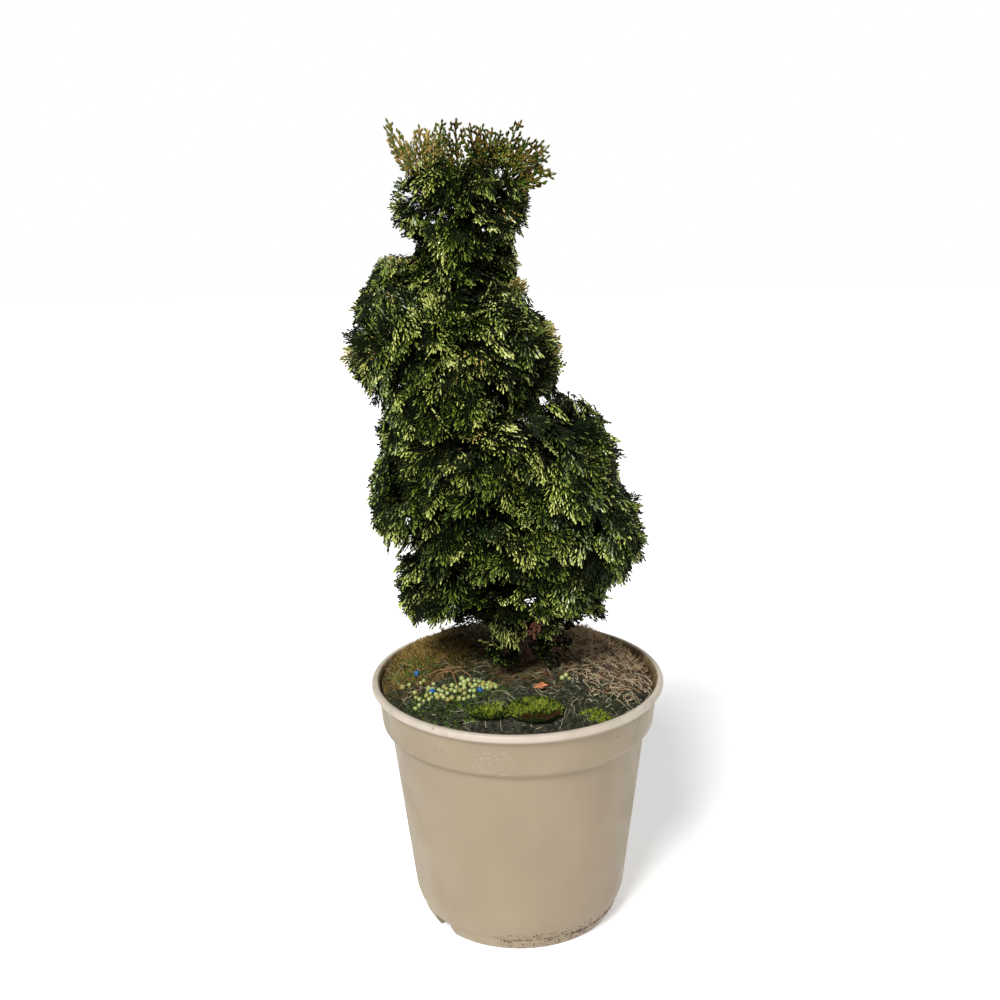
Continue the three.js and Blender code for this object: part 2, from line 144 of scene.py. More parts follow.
def make_piece(
    name: str,
    corners: Array,
    faces: Sequence[Faces],
    materials: Sequence[bpy.types.Material],
    tones: NDArray[np.int32] | None = None,
    smooth: bool = True,
) -> bpy.types.Object:
    """A mesh object from whole arrays.

    Args:
        name: the piece's name.
        corners: its corners in millimetres.
        faces: arrays of corner numbers, each with its own number of corners to a face.
        materials: the materials in its slots.
        tones: the slot of each face, in the order of the faces.
        smooth: whether faces are shaded smooth.

    Returns:
        The object, at the origin.
    """
    mesh = bpy.data.meshes.new(name)
    loops = np.concatenate([group.ravel() for group in faces]).astype(np.int32)
    counts = np.concatenate([np.full(len(group), group.shape[1], np.int32) for group in faces])
    starts = np.concatenate([[0], np.cumsum(counts)[:-1]]).astype(np.int32)
    mesh.vertices.add(len(corners))
    mesh.vertices.foreach_set("co", (np.asarray(corners) * MM).astype(np.float32).ravel())
    mesh.loops.add(len(loops))
    mesh.loops.foreach_set("vertex_index", loops)
    mesh.polygons.add(len(counts))
    mesh.polygons.foreach_set("loop_start", starts)
    if tones is not None:
        mesh.polygons.foreach_set("material_index", tones.astype(np.int32))
    mesh.polygons.foreach_set("use_smooth", np.full(len(counts), smooth))
    for material in materials:
        mesh.materials.append(material)
    mesh.update(calc_edges=True)
    piece = bpy.data.objects.new(name, mesh)
    bpy.context.scene.collection.objects.link(piece)
    return piece


def grid_faces(rows: int, columns: int, closed: bool = True) -> Faces:
    """Quads between neighbouring rows of a grid, whose last column joins the first if closed.

    Args:
        rows: how many rows there are.
        columns: how many places a row has.
        closed: whether it closes on itself.

    Returns:
        The quads.
    """
    row, column = np.meshgrid(
        np.arange(rows - 1), np.arange(columns if closed else columns - 1), indexing="ij"
    )
    a = row * columns + column
    b = row * columns + (column + 1) % columns
    return np.stack([a, b, b + columns, a + columns], -1).reshape(-1, 4).astype(np.int32)


def lofted(rings: Array) -> tuple[Array, list[Faces]]:
    """A closed tube through rings of corners, with a middle corner added at each end.

    Args:
        rings: corners by ring and place round it, counterclockwise seen from the last ring.

    Returns:
        Corners and faces.
    """
    rows, columns = rings.shape[:2]
    ends = np.stack([rings[0].mean(0), rings[-1].mean(0)])
    corners = np.concatenate([rings.reshape(-1, 3), ends])
    first = np.arange(columns)
    after = (first + 1) % columns
    foot = np.stack([after, first, np.full(columns, rows * columns)], -1)
    last = (rows - 1) * columns
    head = np.stack([last + first, last + after, np.full(columns, rows * columns + 1)], -1)
    return corners, [grid_faces(rows, columns), foot.astype(np.int32), head.astype(np.int32)]


class Parts:
    """Corners and faces of many closed shapes, gathered into one mesh."""

    def __init__(self) -> None:
        """Starts with nothing."""
        self.corners: list[Array] = []
        self.faces: dict[int, list[Faces]] = {}
        self.tones: dict[int, list[NDArray[np.int32]]] = {}
        self.count = 0

    def add(self, corners: Array, faces: Sequence[Faces], tone: int = 0) -> None:
        """Adds one shape whose faces all take one slot.

        Args:
            corners: its corners.
            faces: its faces, numbered from its first corner.
            tone: the slot.
        """
        for group in faces:
            size = group.shape[1]
            self.faces.setdefault(size, []).append(group + self.count)
            self.tones.setdefault(size, []).append(np.full(len(group), tone, np.int32))
        self.corners.append(corners)
        self.count += len(corners)

    def piece(
        self, name: str, materials: Sequence[bpy.types.Material], smooth: bool = True
    ) -> bpy.types.Object:
        """The gathered shapes as one object.

        Args:
            name: its name.
            materials: the materials in its slots.
            smooth: whether faces are shaded smooth.

        Returns:
            The piece.
        """
        sizes = sorted(self.faces)
        faces = [np.concatenate(self.faces[size]) for size in sizes]
        tones = np.concatenate([np.concatenate(self.tones[size]) for size in sizes])
        return make_piece(name, np.concatenate(self.corners), faces, materials, tones, smooth)


# ---- Materials --------------------------------------------------------------------------------


class Tree:
    """A node tree that is filled by short calls."""

    def __init__(self, tree: bpy.types.NodeTree) -> None:
        """Takes the tree to fill."""
        self.tree = tree

    def add(self, kind: str, settings: dict | None = None, **inputs: object) -> bpy.types.Node:
        """Adds a node, sets its properties, and sets or links its inputs.

        Args:
            kind: the node's type, without its Shader prefix where it has one.
            settings: properties of the node by name.
            inputs: values or output sockets by input name, with spaces as underscores.

        Returns:
            The node.
        """
        node = self.tree.nodes.new(f"ShaderNode{kind}")
        for key, value in (settings or {}).items():
            setattr(node, key, value)
        for key, value in inputs.items():
            index = int(key[1:]) if key[0] == "i" and key[1:].isdigit() else key.replace("_", " ")
            self.put(node.inputs[index], value)
        return node

    def put(self, socket: bpy.types.NodeSocket, value: object) -> None:
        """Sets a socket to a value, or links an output to it.

        Args:
            socket: the input.
            value: a plain value, or an output socket.
        """
        if isinstance(value, bpy.types.NodeSocket):
            self.tree.links.new(value, socket)
        else:
            socket.default_value = value

    def maths(self, operation: str, a: object, b: object = 0.0, clamp: bool = False) -> object:
        """The result of a Math node on two values."""
        settings = {"operation": operation, "use_clamp": clamp}
        return self.add("Math", settings, i0=a, i1=b).outputs[0]

    def times(self, a: object, b: object) -> object:
        """The product of two values."""
        return self.maths("MULTIPLY", a, b)

    def ramp(self, value: object, low: float, high: float, to_low: float = 0.0, to_high: float = 1.0) -> object:
        """A value carried smoothly from one range to another, and held at its ends.

        Args:
            value: the value.
            low: where its range starts.
            high: where it ends.
            to_low: the result at low.
            to_high: the result at high.

        Returns:
            The result.
        """
        node = self.add("MapRange", {"interpolation_type": "SMOOTHSTEP", "clamp": True}, Value=value)
        ends = ("From Min", "From Max", "To Min", "To Max")
        for key, number in zip(ends, (low, high, to_low, to_high)):
            node.inputs[key].default_value = number
        return node.outputs[0]

    def blend(self, share: object, a: object, b: object, way: str = "MIX") -> object:
        """A colour between a and b.

        Args:
            share: how much of b there is.
            a: the first colour.
            b: the second.
            way: the kind of mix.

        Returns:
            The colour.
        """
        node = self.add("Mix", {"data_type": "RGBA", "blend_type": way, "clamp_factor": True})
        for index, value in ((0, share), (6, a), (7, b)):
            self.put(node.inputs[index], value)
        return node.outputs[2]

    def place(self, scale: Sequence[float] = (1, 1, 1), offset: Sequence[float] = (0, 0, 0)) -> object:
        """Object coordinates, scaled and shifted."""
        where = self.add("TexCoord").outputs["Object"]
        return self.add("Mapping", None, Vector=where, Scale=tuple(scale), Location=tuple(offset)).outputs[0]

    def noise(self, vector: object, scale: float, detail: float = 3.0, rough: float = 0.55) -> object:
        """Fractal noise from 0 to 1."""
        return self.add("TexNoise", None, Vector=vector, Scale=scale, Detail=detail, Roughness=rough).outputs[0]


@dataclass(frozen=True)
class GroupShelf:
    """Node groups that more than one material uses, each made once."""

    mottle_name: str = "Mottle"
    spot_name: str = "Spot"
    specks_name: str = "Specks"

    def _new(
        self, name: str, inputs: Sequence[tuple[str, str, object]], output: str, kind: str
    ) -> tuple[Tree, dict, object]:
        """A new group with named sockets.

        Args:
            name: the group's name.
            inputs: label, socket type and value of each input.
            output: the output's label.
            kind: its socket type.

        Returns:
            The group's tree, its inputs by label, and the socket for its result.
        """
        group = bpy.data.node_groups.new(name, "ShaderNodeTree")
        for label, socket_kind, value in inputs:
            socket = group.interface.new_socket(label, in_out="INPUT", socket_type=socket_kind)
            socket.default_value = value
        group.interface.new_socket(output, in_out="OUTPUT", socket_type=kind)
        entry = group.nodes.new("NodeGroupInput")
        leave = group.nodes.new("NodeGroupOutput")
        return Tree(group), {s.name: s for s in entry.outputs if s.name}, leave.inputs[0]

    def mottle(self) -> bpy.types.NodeTree:
        """Two colours mixed by fractal noise on Object coordinates.

        Returns:
            The group.
        """
        if self.mottle_name in bpy.data.node_groups:
            return bpy.data.node_groups[self.mottle_name]
        tree, given, out = self._new(
            self.mottle_name,
            [
                ("First", "NodeSocketColor", (1, 1, 1, 1)),
                ("Second", "NodeSocketColor", (0, 0, 0, 1)),
                ("Scale", "NodeSocketFloat", 20.0),
                ("Low", "NodeSocketFloat", 0.35),
                ("High", "NodeSocketFloat", 0.65),
            ],
            "Colour",
            "NodeSocketColor",
        )
        noise = tree.noise(tree.place(), 1.0)
        tree.put(noise.node.inputs["Scale"], given["Scale"])
        share = tree.add("MapRange", {"clamp": True}, Value=noise)
        tree.put(share.inputs["From Min"], given["Low"])
        tree.put(share.inputs["From Max"], given["High"])
        tree.put(out, tree.blend(share.outputs[0], given["First"], given["Second"]))
        return tree.tree

    def spot(self) -> bpy.types.NodeTree:
        """A soft ball-shaped mask round a place, with an edge broken by noise.

        Returns:
            The group.
        """
        if self.spot_name in bpy.data.node_groups:
            return bpy.data.node_groups[self.spot_name]
        tree, given, out = self._new(
            self.spot_name,
            [
                ("Centre", "NodeSocketVector", (0, 0, 0)),
                ("Radius", "NodeSocketFloat", 0.02),
                ("Ragged", "NodeSocketFloat", 0.5),
                ("Scale", "NodeSocketFloat", 90.0),
            ],
            "Mask",
            "NodeSocketFloat",
        )
        where = tree.place()
        away = tree.add("VectorMath", {"operation": "DISTANCE"}, i0=where, i1=given["Centre"]).outputs["Value"]
        share = tree.maths("DIVIDE", away, given["Radius"])
        noise = tree.noise(where, 1.0)
        tree.put(noise.node.inputs["Scale"], given["Scale"])
        wobble = tree.times(tree.maths("SUBTRACT", noise, 0.5), given["Ragged"])
        tree.put(out, tree.ramp(tree.maths("ADD", share, wobble), 0.75, 1.05, 1.0, 0.0))
        return tree.tree

    def specks(self) -> bpy.types.NodeTree:
        """Small scattered dots: cells of a Voronoi pattern whose middles are near, kept by a threshold.

        Returns:
            The group.
        """
        if self.specks_name in bpy.data.node_groups:
            return bpy.data.node_groups[self.specks_name]
        tree, given, out = self._new(
            self.specks_name,
            [
                ("Scale", "NodeSocketFloat", 120.0),
                ("Size", "NodeSocketFloat", 0.12),
                ("Share", "NodeSocketFloat", 0.3),
            ],
            "Mask",
            "NodeSocketFloat",
        )
        cells = tree.add("TexVoronoi", {"feature": "F1"}, Vector=tree.place())
        tree.put(cells.inputs["Scale"], given["Scale"])
        near = tree.maths("LESS_THAN", cells.outputs["Distance"], given["Size"])
        parts = tree.add("SeparateColor", None, Color=cells.outputs["Color"])
        kept = tree.maths("LESS_THAN", parts.outputs[0], given["Share"])
        tree.put(out, tree.times(near, kept))
        return tree.tree

    def use(self, tree: Tree, group: bpy.types.NodeTree, **inputs: object) -> object:
        """Places a group in a tree and returns its output.

        Args:
            tree: the tree.
            group: the group.
            inputs: values or sockets by label.

        Returns:
            The group's result.
        """
        node = tree.add("Group", {"node_tree": group})
        for key, value in inputs.items():
            tree.put(node.inputs[key], value)
        return node.outputs[0]


SHELF = GroupShelf()


def new_material(name: str) -> tuple[bpy.types.Material, Tree, bpy.types.Node]:
    """A material with nodes, its tree and its Principled shader.

    Args:
        name: the material's name.

    Returns:
        The material, its tree and its shader.
    """
    material = bpy.data.materials.new(name)
    material.use_nodes = True
    shader = next(n for n in material.node_tree.nodes if n.type == "BSDF_PRINCIPLED")
    return material, Tree(material.node_tree), shader


@dataclass(frozen=True)
class LeafTone:
    """One plain colour of leaves or twigs, dealt out by spray."""

    name: str
    colour: str
    roughness: float = 0.5
    shine: float = 0.4

    def build(self) -> bpy.types.Material:
        """The material: a plain colour and a plain gloss.

        Returns:
            The material.
        """
        material, _, shader = new_material(self.name)
        shader.inputs["Base Color"].default_value = linear(self.colour)
        shader.inputs["Roughness"].default_value = self.roughness
        shader.inputs["Specular IOR Level"].default_value = self.shine
        return material


@dataclass(frozen=True)
class Bark:
    """Stringy red-brown bark that greys on its ridges."""

    ridge: str = "6b452e"
    furrow: str = "24130b"
    grey: str = "6e665c"

    def build(self) -> bpy.types.Material:
        """The material: long strands up the limb, with grey patches and a bump.

        Returns:
            The material.
        """
        material, tree, shader = new_material("bark")
        strands = tree.noise(tree.place((1, 1, 0.12)), 420.0, 4.0, 0.6)
        colour = tree.blend(tree.ramp(strands, 0.38, 0.62), linear(self.furrow), linear(self.ridge))
        patches = tree.ramp(tree.noise(tree.place(), 60.0), 0.55, 0.7, 0.0, 0.45)
        colour = tree.blend(patches, colour, linear(self.grey))
        tree.put(shader.inputs["Base Color"], colour)
        shader.inputs["Roughness"].default_value = 0.85
        bump = tree.add("Bump", None, Height=strands, Strength=0.6, Distance=0.0008)
        tree.put(shader.inputs["Normal"], bump.outputs[0])
        return material


@dataclass(frozen=True)
class PotPlastic:
    """Taupe moulded plastic with dust on its lip, scuffs on its collar and dirt round its foot."""

    body: str = "96876f"
    shadow: str = "8b7c66"
    pale: str = "d8cec2"
    dirt: str = "3a2413"
    rosy: str = "9c8571"
    speck: str = "3d2b1b"
    height: float = 0.244
    crease: float = 0.0125
    seam_azimuth: float = -34.0

    def build(self) -> bpy.types.Material:
        """The outer wall's material.

        Returns:
            The material.
        """
        material, tree, shader = new_material("pot_plastic")
        where = tree.add("TexCoord").outputs["Object"]
        high = tree.add("SeparateXYZ", None, Vector=where).outputs[2]
        mottle = SHELF.mottle()
        shades = {"First": linear(self.body), "Second": linear(self.shadow)}
        colour = SHELF.use(tree, mottle, **shades, Scale=14.0, Low=0.3, High=0.8)
        blush = tree.noise(tree.place((1, 1, 0.6)), 11.0, 3.0)
        colour = tree.blend(tree.ramp(blush, 0.45, 0.75, 0.0, 0.3), colour, linear(self.rosy))
        scuffed = {"Centre": (-0.024, -0.131, 0.214), "Radius": 0.02}
        scuffs = SHELF.use(tree, SHELF.spot(), **scuffed, Ragged=1.0, Scale=90.0)
        flecks = tree.ramp(tree.noise(tree.place((1, 1, 3.5)), 240.0, 4.0, 0.7), 0.56, 0.63)
        colour = tree.blend(tree.times(scuffs, tree.times(flecks, 0.26)), colour, linear(self.pale))
        worn = tree.ramp(high, self.height - 0.009, self.height - 0.005, 0.0, 0.55)
        wear = tree.ramp(tree.noise(tree.place(), 40.0, 4.0, 0.65), 0.2, 0.6, 0.5, 1.0)
        colour = tree.blend(tree.times(worn, wear), colour, linear(self.pale))
        specks = SHELF.use(tree, SHELF.specks(), Scale=115.0, Size=0.1, Share=0.35)
        upper = tree.ramp(high, 0.17, 0.2)
        dotted = tree.times(tree.times(specks, upper), 0.75)
        colour = tree.blend(dotted, colour, linear(self.speck))
        colour = self.foot_dirt(tree, colour, high)
        colour = self.seam(tree, colour, where, high)
        tree.put(shader.inputs["Base Color"], colour)
        grain = tree.noise(tree.place(), 900.0, 2.0)
        rough = tree.ramp(tree.noise(tree.place(), 30.0), 0.3, 0.7, 0.42, 0.58)
        tree.put(shader.inputs["Roughness"], rough)
        shader.inputs["Specular IOR Level"].default_value = 0.35
        bump = tree.add("Bump", None, Height=grain, Strength=0.12, Distance=0.0003)
        tree.put(shader.inputs["Normal"], bump.outputs[0])
        return material

    def foot_dirt(self, tree: Tree, colour: object, high: object) -> object:
        """Specks and splashes of dirt low on the wall, heavier to one side, and a dirty crease.

        Args:
            tree: the material's tree.
            colour: the colour of the clean wall.
            high: the height over the floor, in metres.

        Returns:
            The mixed colour.
        """
        heavy = {"Centre": (0.05, -0.088, 0.014), "Radius": 0.078}
        side = SHELF.use(tree, SHELF.spot(), **heavy, Ragged=0.5, Scale=40.0)
        low = tree.ramp(high, 0.011, 0.03, 1.0, 0.0)
        where = tree.times(low, tree.maths("ADD", tree.times(side, 0.88), 0.12))
        dots = SHELF.use(tree, SHELF.specks(), Scale=290.0, Size=0.33, Share=0.5)
        fine = SHELF.use(tree, SHELF.specks(), Scale=520.0, Size=0.3, Share=0.5)
        blots = tree.times(tree.ramp(tree.noise(tree.place(), 130.0, 5.0, 0.7), 0.52, 0.6), 0.5)
        splash = tree.times(where, tree.maths("MAXIMUM", tree.maths("MAXIMUM", dots, fine), blots))
        off_crease = tree.maths("ABSOLUTE", tree.maths("SUBTRACT", high, self.crease))
        crease = tree.maths("SUBTRACT", 1.0, tree.times(off_crease, 420.0), True)
        line = tree.times(crease, tree.maths("ADD", tree.times(side, 0.6), 0.1))
        ragged = tree.ramp(tree.noise(tree.place(), 190.0, 4.0, 0.7), 0.42, 0.56)
        share = tree.maths("MAXIMUM", splash, tree.times(line, ragged))
        share = tree.ramp(share, 0.2, 0.62, 0.0, 0.9)
        return tree.blend(share, colour, linear(self.dirt))

    def seam(self, tree: Tree, colour: object, where: object, high: object) -> object:
        """A faint mould line down the collar on both sides of the pot, as a mixed colour.

        Args:
            tree: the material's tree.
            colour: the colour without it.
            where: Object coordinates.
            high: the height over the floor, in metres.

        Returns:
            The mixed colour.
        """
        azimuth = math.radians(self.seam_azimuth)
        square = (-math.sin(azimuth), math.cos(azimuth), 0)
        product = tree.add("VectorMath", {"operation": "DOT_PRODUCT"}, i0=where, i1=square)
        across = product.outputs["Value"]
        near = tree.ramp(tree.maths("ABSOLUTE", across), 0.0002, 0.0007, 0.3, 0.0)
        upper = tree.ramp(high, 0.196, 0.2)
        return tree.blend(tree.times(near, upper), colour, linear(self.dirt))


@dataclass(frozen=True)
class PotInside:
    """The inner wall above the soil, stained olive brown."""

    pale: str = "a08d68"
    stain: str = "5a4a2a"

    def build(self) -> bpy.types.Material:
        """A pale wall mottled with stains.

        Returns:
            The material.
        """
        material, tree, shader = new_material("pot_inside")
        shades = {"First": linear(self.pale), "Second": linear(self.stain)}
        colour = SHELF.use(tree, SHELF.mottle(), **shades, Scale=60.0, Low=0.3, High=0.6)
        tree.put(shader.inputs["Base Color"], colour)
        shader.inputs["Roughness"].default_value = 0.6
        return material


@dataclass(frozen=True)
class Earth:
    """Dark potting soil, brown by the trunk, tan at the left back and the right."""

    dark: str = "1d190f"
    grey: str = "3d3e2c"
    tan: str = "4f3f1c"
    straw: str = "52453a"
    red: str = "4a2c1a"

    def build(self) -> bpy.types.Material:
        """The material: crumbly colours with soft zones.

        Returns:
            The material.
        """
        material, tree, shader = new_material("potting_soil")
        mottle, spot = SHELF.mottle(), SHELF.spot()
        shades = {"First": linear(self.dark), "Second": linear(self.grey)}
        colour = SHELF.use(tree, mottle, **shades, Scale=190.0, Low=0.4, High=0.62)
        zones = (
            (self.tan, (-0.095, 0.01, 0.255), 0.062),
            (self.straw, (0.1, 0.03, 0.255), 0.075),
            (self.red, (0.0, -0.01, 0.26), 0.04),
            (self.straw, (0.02, 0.1, 0.26), 0.08),
        )
        for code, centre, radius in zones:
            mask = SHELF.use(tree, spot, Centre=centre, Radius=radius, Ragged=1.1, Scale=70.0)
            colour = tree.blend(tree.times(mask, 0.75), colour, linear(code))
        tree.put(shader.inputs["Base Color"], colour)
        shader.inputs["Roughness"].default_value = 0.95
        crumbs = tree.noise(tree.place(), 480.0, 5.0, 0.7)
        bump = tree.add("Bump", None, Height=crumbs, Strength=0.9, Distance=0.002)
        tree.put(shader.inputs["Normal"], bump.outputs[0])
        return material


@dataclass(frozen=True)
class Skin:
    """A small smooth thing such as a berry: two colours mottled, with a soft gloss."""

    name: str
    first: str
    second: str
    scale: float = 300.0
    roughness: float = 0.4

    def build(self) -> bpy.types.Material:
        """Two colours, mottled, and a plain gloss.

        Returns:
            The material.
        """
        material, tree, shader = new_material(self.name)
        shades = {"First": linear(self.first), "Second": linear(self.second)}
        colour = SHELF.use(tree, SHELF.mottle(), **shades, Scale=self.scale)
        tree.put(shader.inputs["Base Color"], colour)
        shader.inputs["Roughness"].default_value = self.roughness
        return material


# ---- Pot --------------------------------------------------------------------------------------


@dataclass
class Pot:
    """The nursery pot: a turned wall with lip, collar, base band and two drain notches."""

    height: float = 244.0
    lip_radius: float = 140.0
    lip_height: float = 7.0
    lip_width: float = 7.0
    collar_top: float = 134.0
    collar_bottom: float = 130.0
    collar_low: float = 202.0
    wall_top_radius: float = 122.5
    wall_top: float = 196.0
    wall_bottom_radius: float = 102.8
    wall_bottom: float = 30.0
    band_radius: float = 97.0
    band_height: float = 11.5
    base_radius: float = 90.0
    wall: float = 2.5
    floor: float = 3.0
    segments: int = 176
    notch_size: tuple[float, float, float] = (30.0, 24.0, 27.0)
    notch_azimuths: tuple[float, float] = (-142.0, 38.0)

    def outside(self) -> Array:
        """The outer outline from the underside up to the lip, as radius and height.

        Returns:
            The outline's corners.
        """
        middle = (self.wall_bottom_radius + self.wall_top_radius) / 2
        half = (self.wall_bottom + self.wall_top) / 2
        low = self.height - self.lip_height
        return np.array(
            [
                (self.base_radius, 0),
                (self.base_radius + 2.6, 4),
                (self.band_radius - 0.8, self.band_height - 1),
                (self.band_radius - 1.6, self.band_height),
                (self.wall_bottom_radius - 2.6, 21),
                (self.wall_bottom_radius, self.wall_bottom),
                (middle, half),
                (self.wall_top_radius, self.wall_top),
                (self.collar_bottom - 2, self.collar_low - 2.5),
                (self.collar_bottom, self.collar_low),
                (self.collar_bottom + 1.8, 218),
                (self.collar_top, low - 4),
                (self.lip_radius - 1, low),
                (self.lip_radius, low + 2.8),
                (self.lip_radius - 1.2, self.height - 1),
                (self.lip_radius - 3.4, self.height),
            ]
        )

    def inside(self) -> Array:
        """The inner outline from the lip down to the floor.

        Returns:
            The outline's corners.
        """
        return np.array(
            [
                (self.lip_radius - self.lip_width, self.height - 0.6),
                (self.collar_top - self.wall, self.height - 5),
                (self.collar_bottom - self.wall, self.collar_low),
                (self.wall_top_radius - self.wall, self.wall_top - 1),
                (self.wall_bottom_radius - self.wall, self.wall_bottom),
                (self.band_radius - self.wall - 2, self.band_height),
                (self.base_radius - self.wall, self.floor),
            ]
        )

    @staticmethod
    def rounded(outline: Array, reach: float) -> Array:
        """An outline with each corner swapped for a short curve.

        The curve is (1-t)^2 p + 2t(1-t) corner + t^2 q, where p and q lie on the two sides at
        the given reach from the corner, or two fifths of a side that is shorter.

        Args:
            outline: its corners.
            reach: how far from a corner the curve starts.

        Returns:
            The new outline.
        """
        before, corner, after = outline[:-2], outline[1:-1], outline[2:]
        back, onward = before - corner, after - corner
        short = np.minimum(reach, 0.4 * np.linalg.norm(back, axis=1))[:, None]
        far = np.minimum(reach, 0.4 * np.linalg.norm(onward, axis=1))[:, None]
        p, q = corner + unit(back) * short, corner + unit(onward) * far
        t = np.linspace(0, 1, 5)[None, :, None]
        curves = (1 - t) ** 2 * p[:, None] + 2 * t * (1 - t) * corner[:, None] + t**2 * q[:, None]
        return np.concatenate([outline[:1], curves.reshape(-1, 2), outline[-1:]])

    def build(self) -> bpy.types.Object:
        """The pot as one closed shell: its outline turned about the axis, then notched.

        Returns:
            The piece.
        """
        outer, inner = self.outside(), self.inside()
        outline = self.rounded(np.concatenate([outer, inner]), 1.6)
        angle = np.linspace(0, 2 * np.pi, self.segments, endpoint=False)
        radius, height = outline[:, None, 0], outline[:, None, 1]
        rings = np.stack([radius * np.cos(angle), radius * np.sin(angle), height + 0 * angle], -1)
        corners, faces = lofted(rings)
        inner_from = 1 + 5 * (len(outer) - 1)
        rows = np.repeat(np.arange(len(outline) - 1), self.segments)
        tones = np.concatenate([(rows >= inner_from), np.zeros(self.segments), np.ones(self.segments)])
        pot = make_piece("pot_shell", corners, faces, [PotPlastic().build(), PotInside().build()], tones)
        self.notch(pot)
        pot.data.set_sharp_from_angle(angle=math.radians(40))
        return pot

    def notch(self, pot: bpy.types.Object) -> None:
        """Cuts the drain notches out of the base.

        Args:
            pot: the shell, whose mesh is swapped for the cut one.
        """
        depth, width, height = self.notch_size
        for azimuth in self.notch_azimuths:
            turn = math.radians(azimuth)
            box = np.array(list(np.ndindex(2, 2, 2)), float) * 2 - 1
            box = box * np.array([depth / 2, width / 2, height / 2]) + np.array([self.band_radius, 0, 0])
            cos, sin = math.cos(turn), math.sin(turn)
            spin = np.array([[cos, sin, 0], [-sin, cos, 0], [0, 0, 1]])
            sides = np.array(
                [[0, 1, 3, 2], [4, 6, 7, 5], [0, 4, 5, 1], [2, 3, 7, 6], [0, 2, 6, 4], [1, 5, 7, 3]], np.int32
            )
            cutter = make_piece("notch_cutter", box @ spin, [sides], [], smooth=False)
            cut = pot.modifiers.new("notch", "BOOLEAN")
            cut.object, cut.operation, cut.solver = cutter, "DIFFERENCE", "EXACT"
            result = bpy.data.meshes.new_from_object(pot.evaluated_get(bpy.context.evaluated_depsgraph_get()))
            pot.modifiers.clear()
            pot.data = result
            bpy.data.objects.remove(cutter)


# ---- Soil and what lies on it -----------------------------------------------------------------


@dataclass
class Soil:
    """The mound of soil in the pot."""

    edge: float = 232.0
    crown: float = 260.0
    foot_radius: float = 24.0
    back_rise: float = 36.0
    left_rise: float = 3.0
    rim: float = 134.0
    edge_radius: float = 130.2
    lump: float = 2.2
    drain_radius: float = 80.0
    drain_top: float = 16.0
    drain_half_angle: float = 0.135
    rings: int = 96
    segments: int = 240

    def humps(self, x: Array, y: Array) -> Array:
        """Humps about 35 mm apart: sin x cos y and a slanting cosine, level at foot and rim.

        Args:
            x: places across.
            y: places from front to back.

        Returns:
            Heights over the mound.
        """
        out = np.hypot(x, y)
        level = smooth_share(out, self.foot_radius, 46) * (1 - smooth_share(out, 108, 130))
        waves = np.sin(x / 8.6 + 1.3) * np.cos(y / 9.4 - 0.6) + 0.6 * np.cos((x - y) / 13 + 0.4)
        return self.lump * level * waves

    def height(self, x: Array, y: Array) -> Array:
        """The mound: edge + crown share + a rise to the back + a little to the left + humps.

        Args:
            x: places across.
            y: places from front to back.

        Returns:
            Heights.
        """
        share = np.clip((np.hypot(x, y) - self.foot_radius) / (self.rim - self.foot_radius), 0, 1)
        mound = (self.crown - self.edge) * (1 - share**2.2)
        back = self.back_rise * 0.5 * (1 + y / self.rim) * share * (1 - share**3)
        tilt = self.left_rise * share * x / self.rim
        return self.edge + mound + back - tilt + self.humps(x, y)

    def surface(self, x: Array, y: Array) -> Array:
        """The mound with lumps and crumbs on it.

        Args:
            x: places across.
            y: places from front to back.

        Returns:
            Heights.
        """
        spots = np.stack([x, y, np.zeros_like(x)], -1)
        lumps = 0.9 * ripple(spots, 12, 1) + 0.7 * ripple(spots, 5, 2) + 0.6 * ripple(spots, 2.4, 3)
        near_rim = 1 - smooth_share(np.hypot(x, y), self.edge_radius - 5, self.edge_radius)
        return self.height(x, y) - 1.5 * near_rim + lumps * (0.3 + 0.7 * near_rim)

    def build(self, pot: Pot) -> bpy.types.Object:
        """The soil as one closed body: its crumbly top, and a side that follows the pot and its drains.

        The side is the pot's inner outline, 0.3 mm clear of it. Below the drains' top and within
        their half angle it is drawn in to the drain radius.

        Args:
            pot: the pot that holds it.

        Returns:
            The piece.
        """
        angle = np.linspace(0, 2 * np.pi, self.segments, endpoint=False)
        inner = pot.inside()[2:][::-1]
        side = np.stack([inner[:, 0] - 0.3, inner[:, 1] + 0.3], -1)
        low = np.stack([[self.drain_radius, side[0, 0]], [side[0, 1], side[0, 1]]], -1)
        steps = [self.drain_top - 1, self.drain_top + 1]
        waist = np.stack([np.interp(steps, side[:, 1], side[:, 0]), steps], -1)
        side = np.concatenate([low, side[1:2], waist, side[2:], [[self.edge_radius, self.edge - 1]]])
        near = math.cos(self.drain_half_angle)
        drain = sum(np.cos(angle - math.radians(azimuth)) > near for azimuth in pot.notch_azimuths)
        full = side[:, None, 0]
        drawn_in = (drain > 0) & (side[:, None, 1] < self.drain_top)
        radius = np.where(drawn_in, np.minimum(full, self.drain_radius), full)
        wall = np.stack([radius * np.cos(angle), radius * np.sin(angle), side[:, None, 1] + 0 * angle], -1)
        radius = self.edge_radius * np.linspace(1, 0.004, self.rings)[:, None] ** 0.9
        x, y = radius * np.cos(angle), radius * np.sin(angle)
        top = np.stack([x, y, self.surface(x, y)], -1)
        corners, faces = lofted(np.concatenate([wall, top]))
        return make_piece("soil_bed", corners, faces, [Earth().build()])


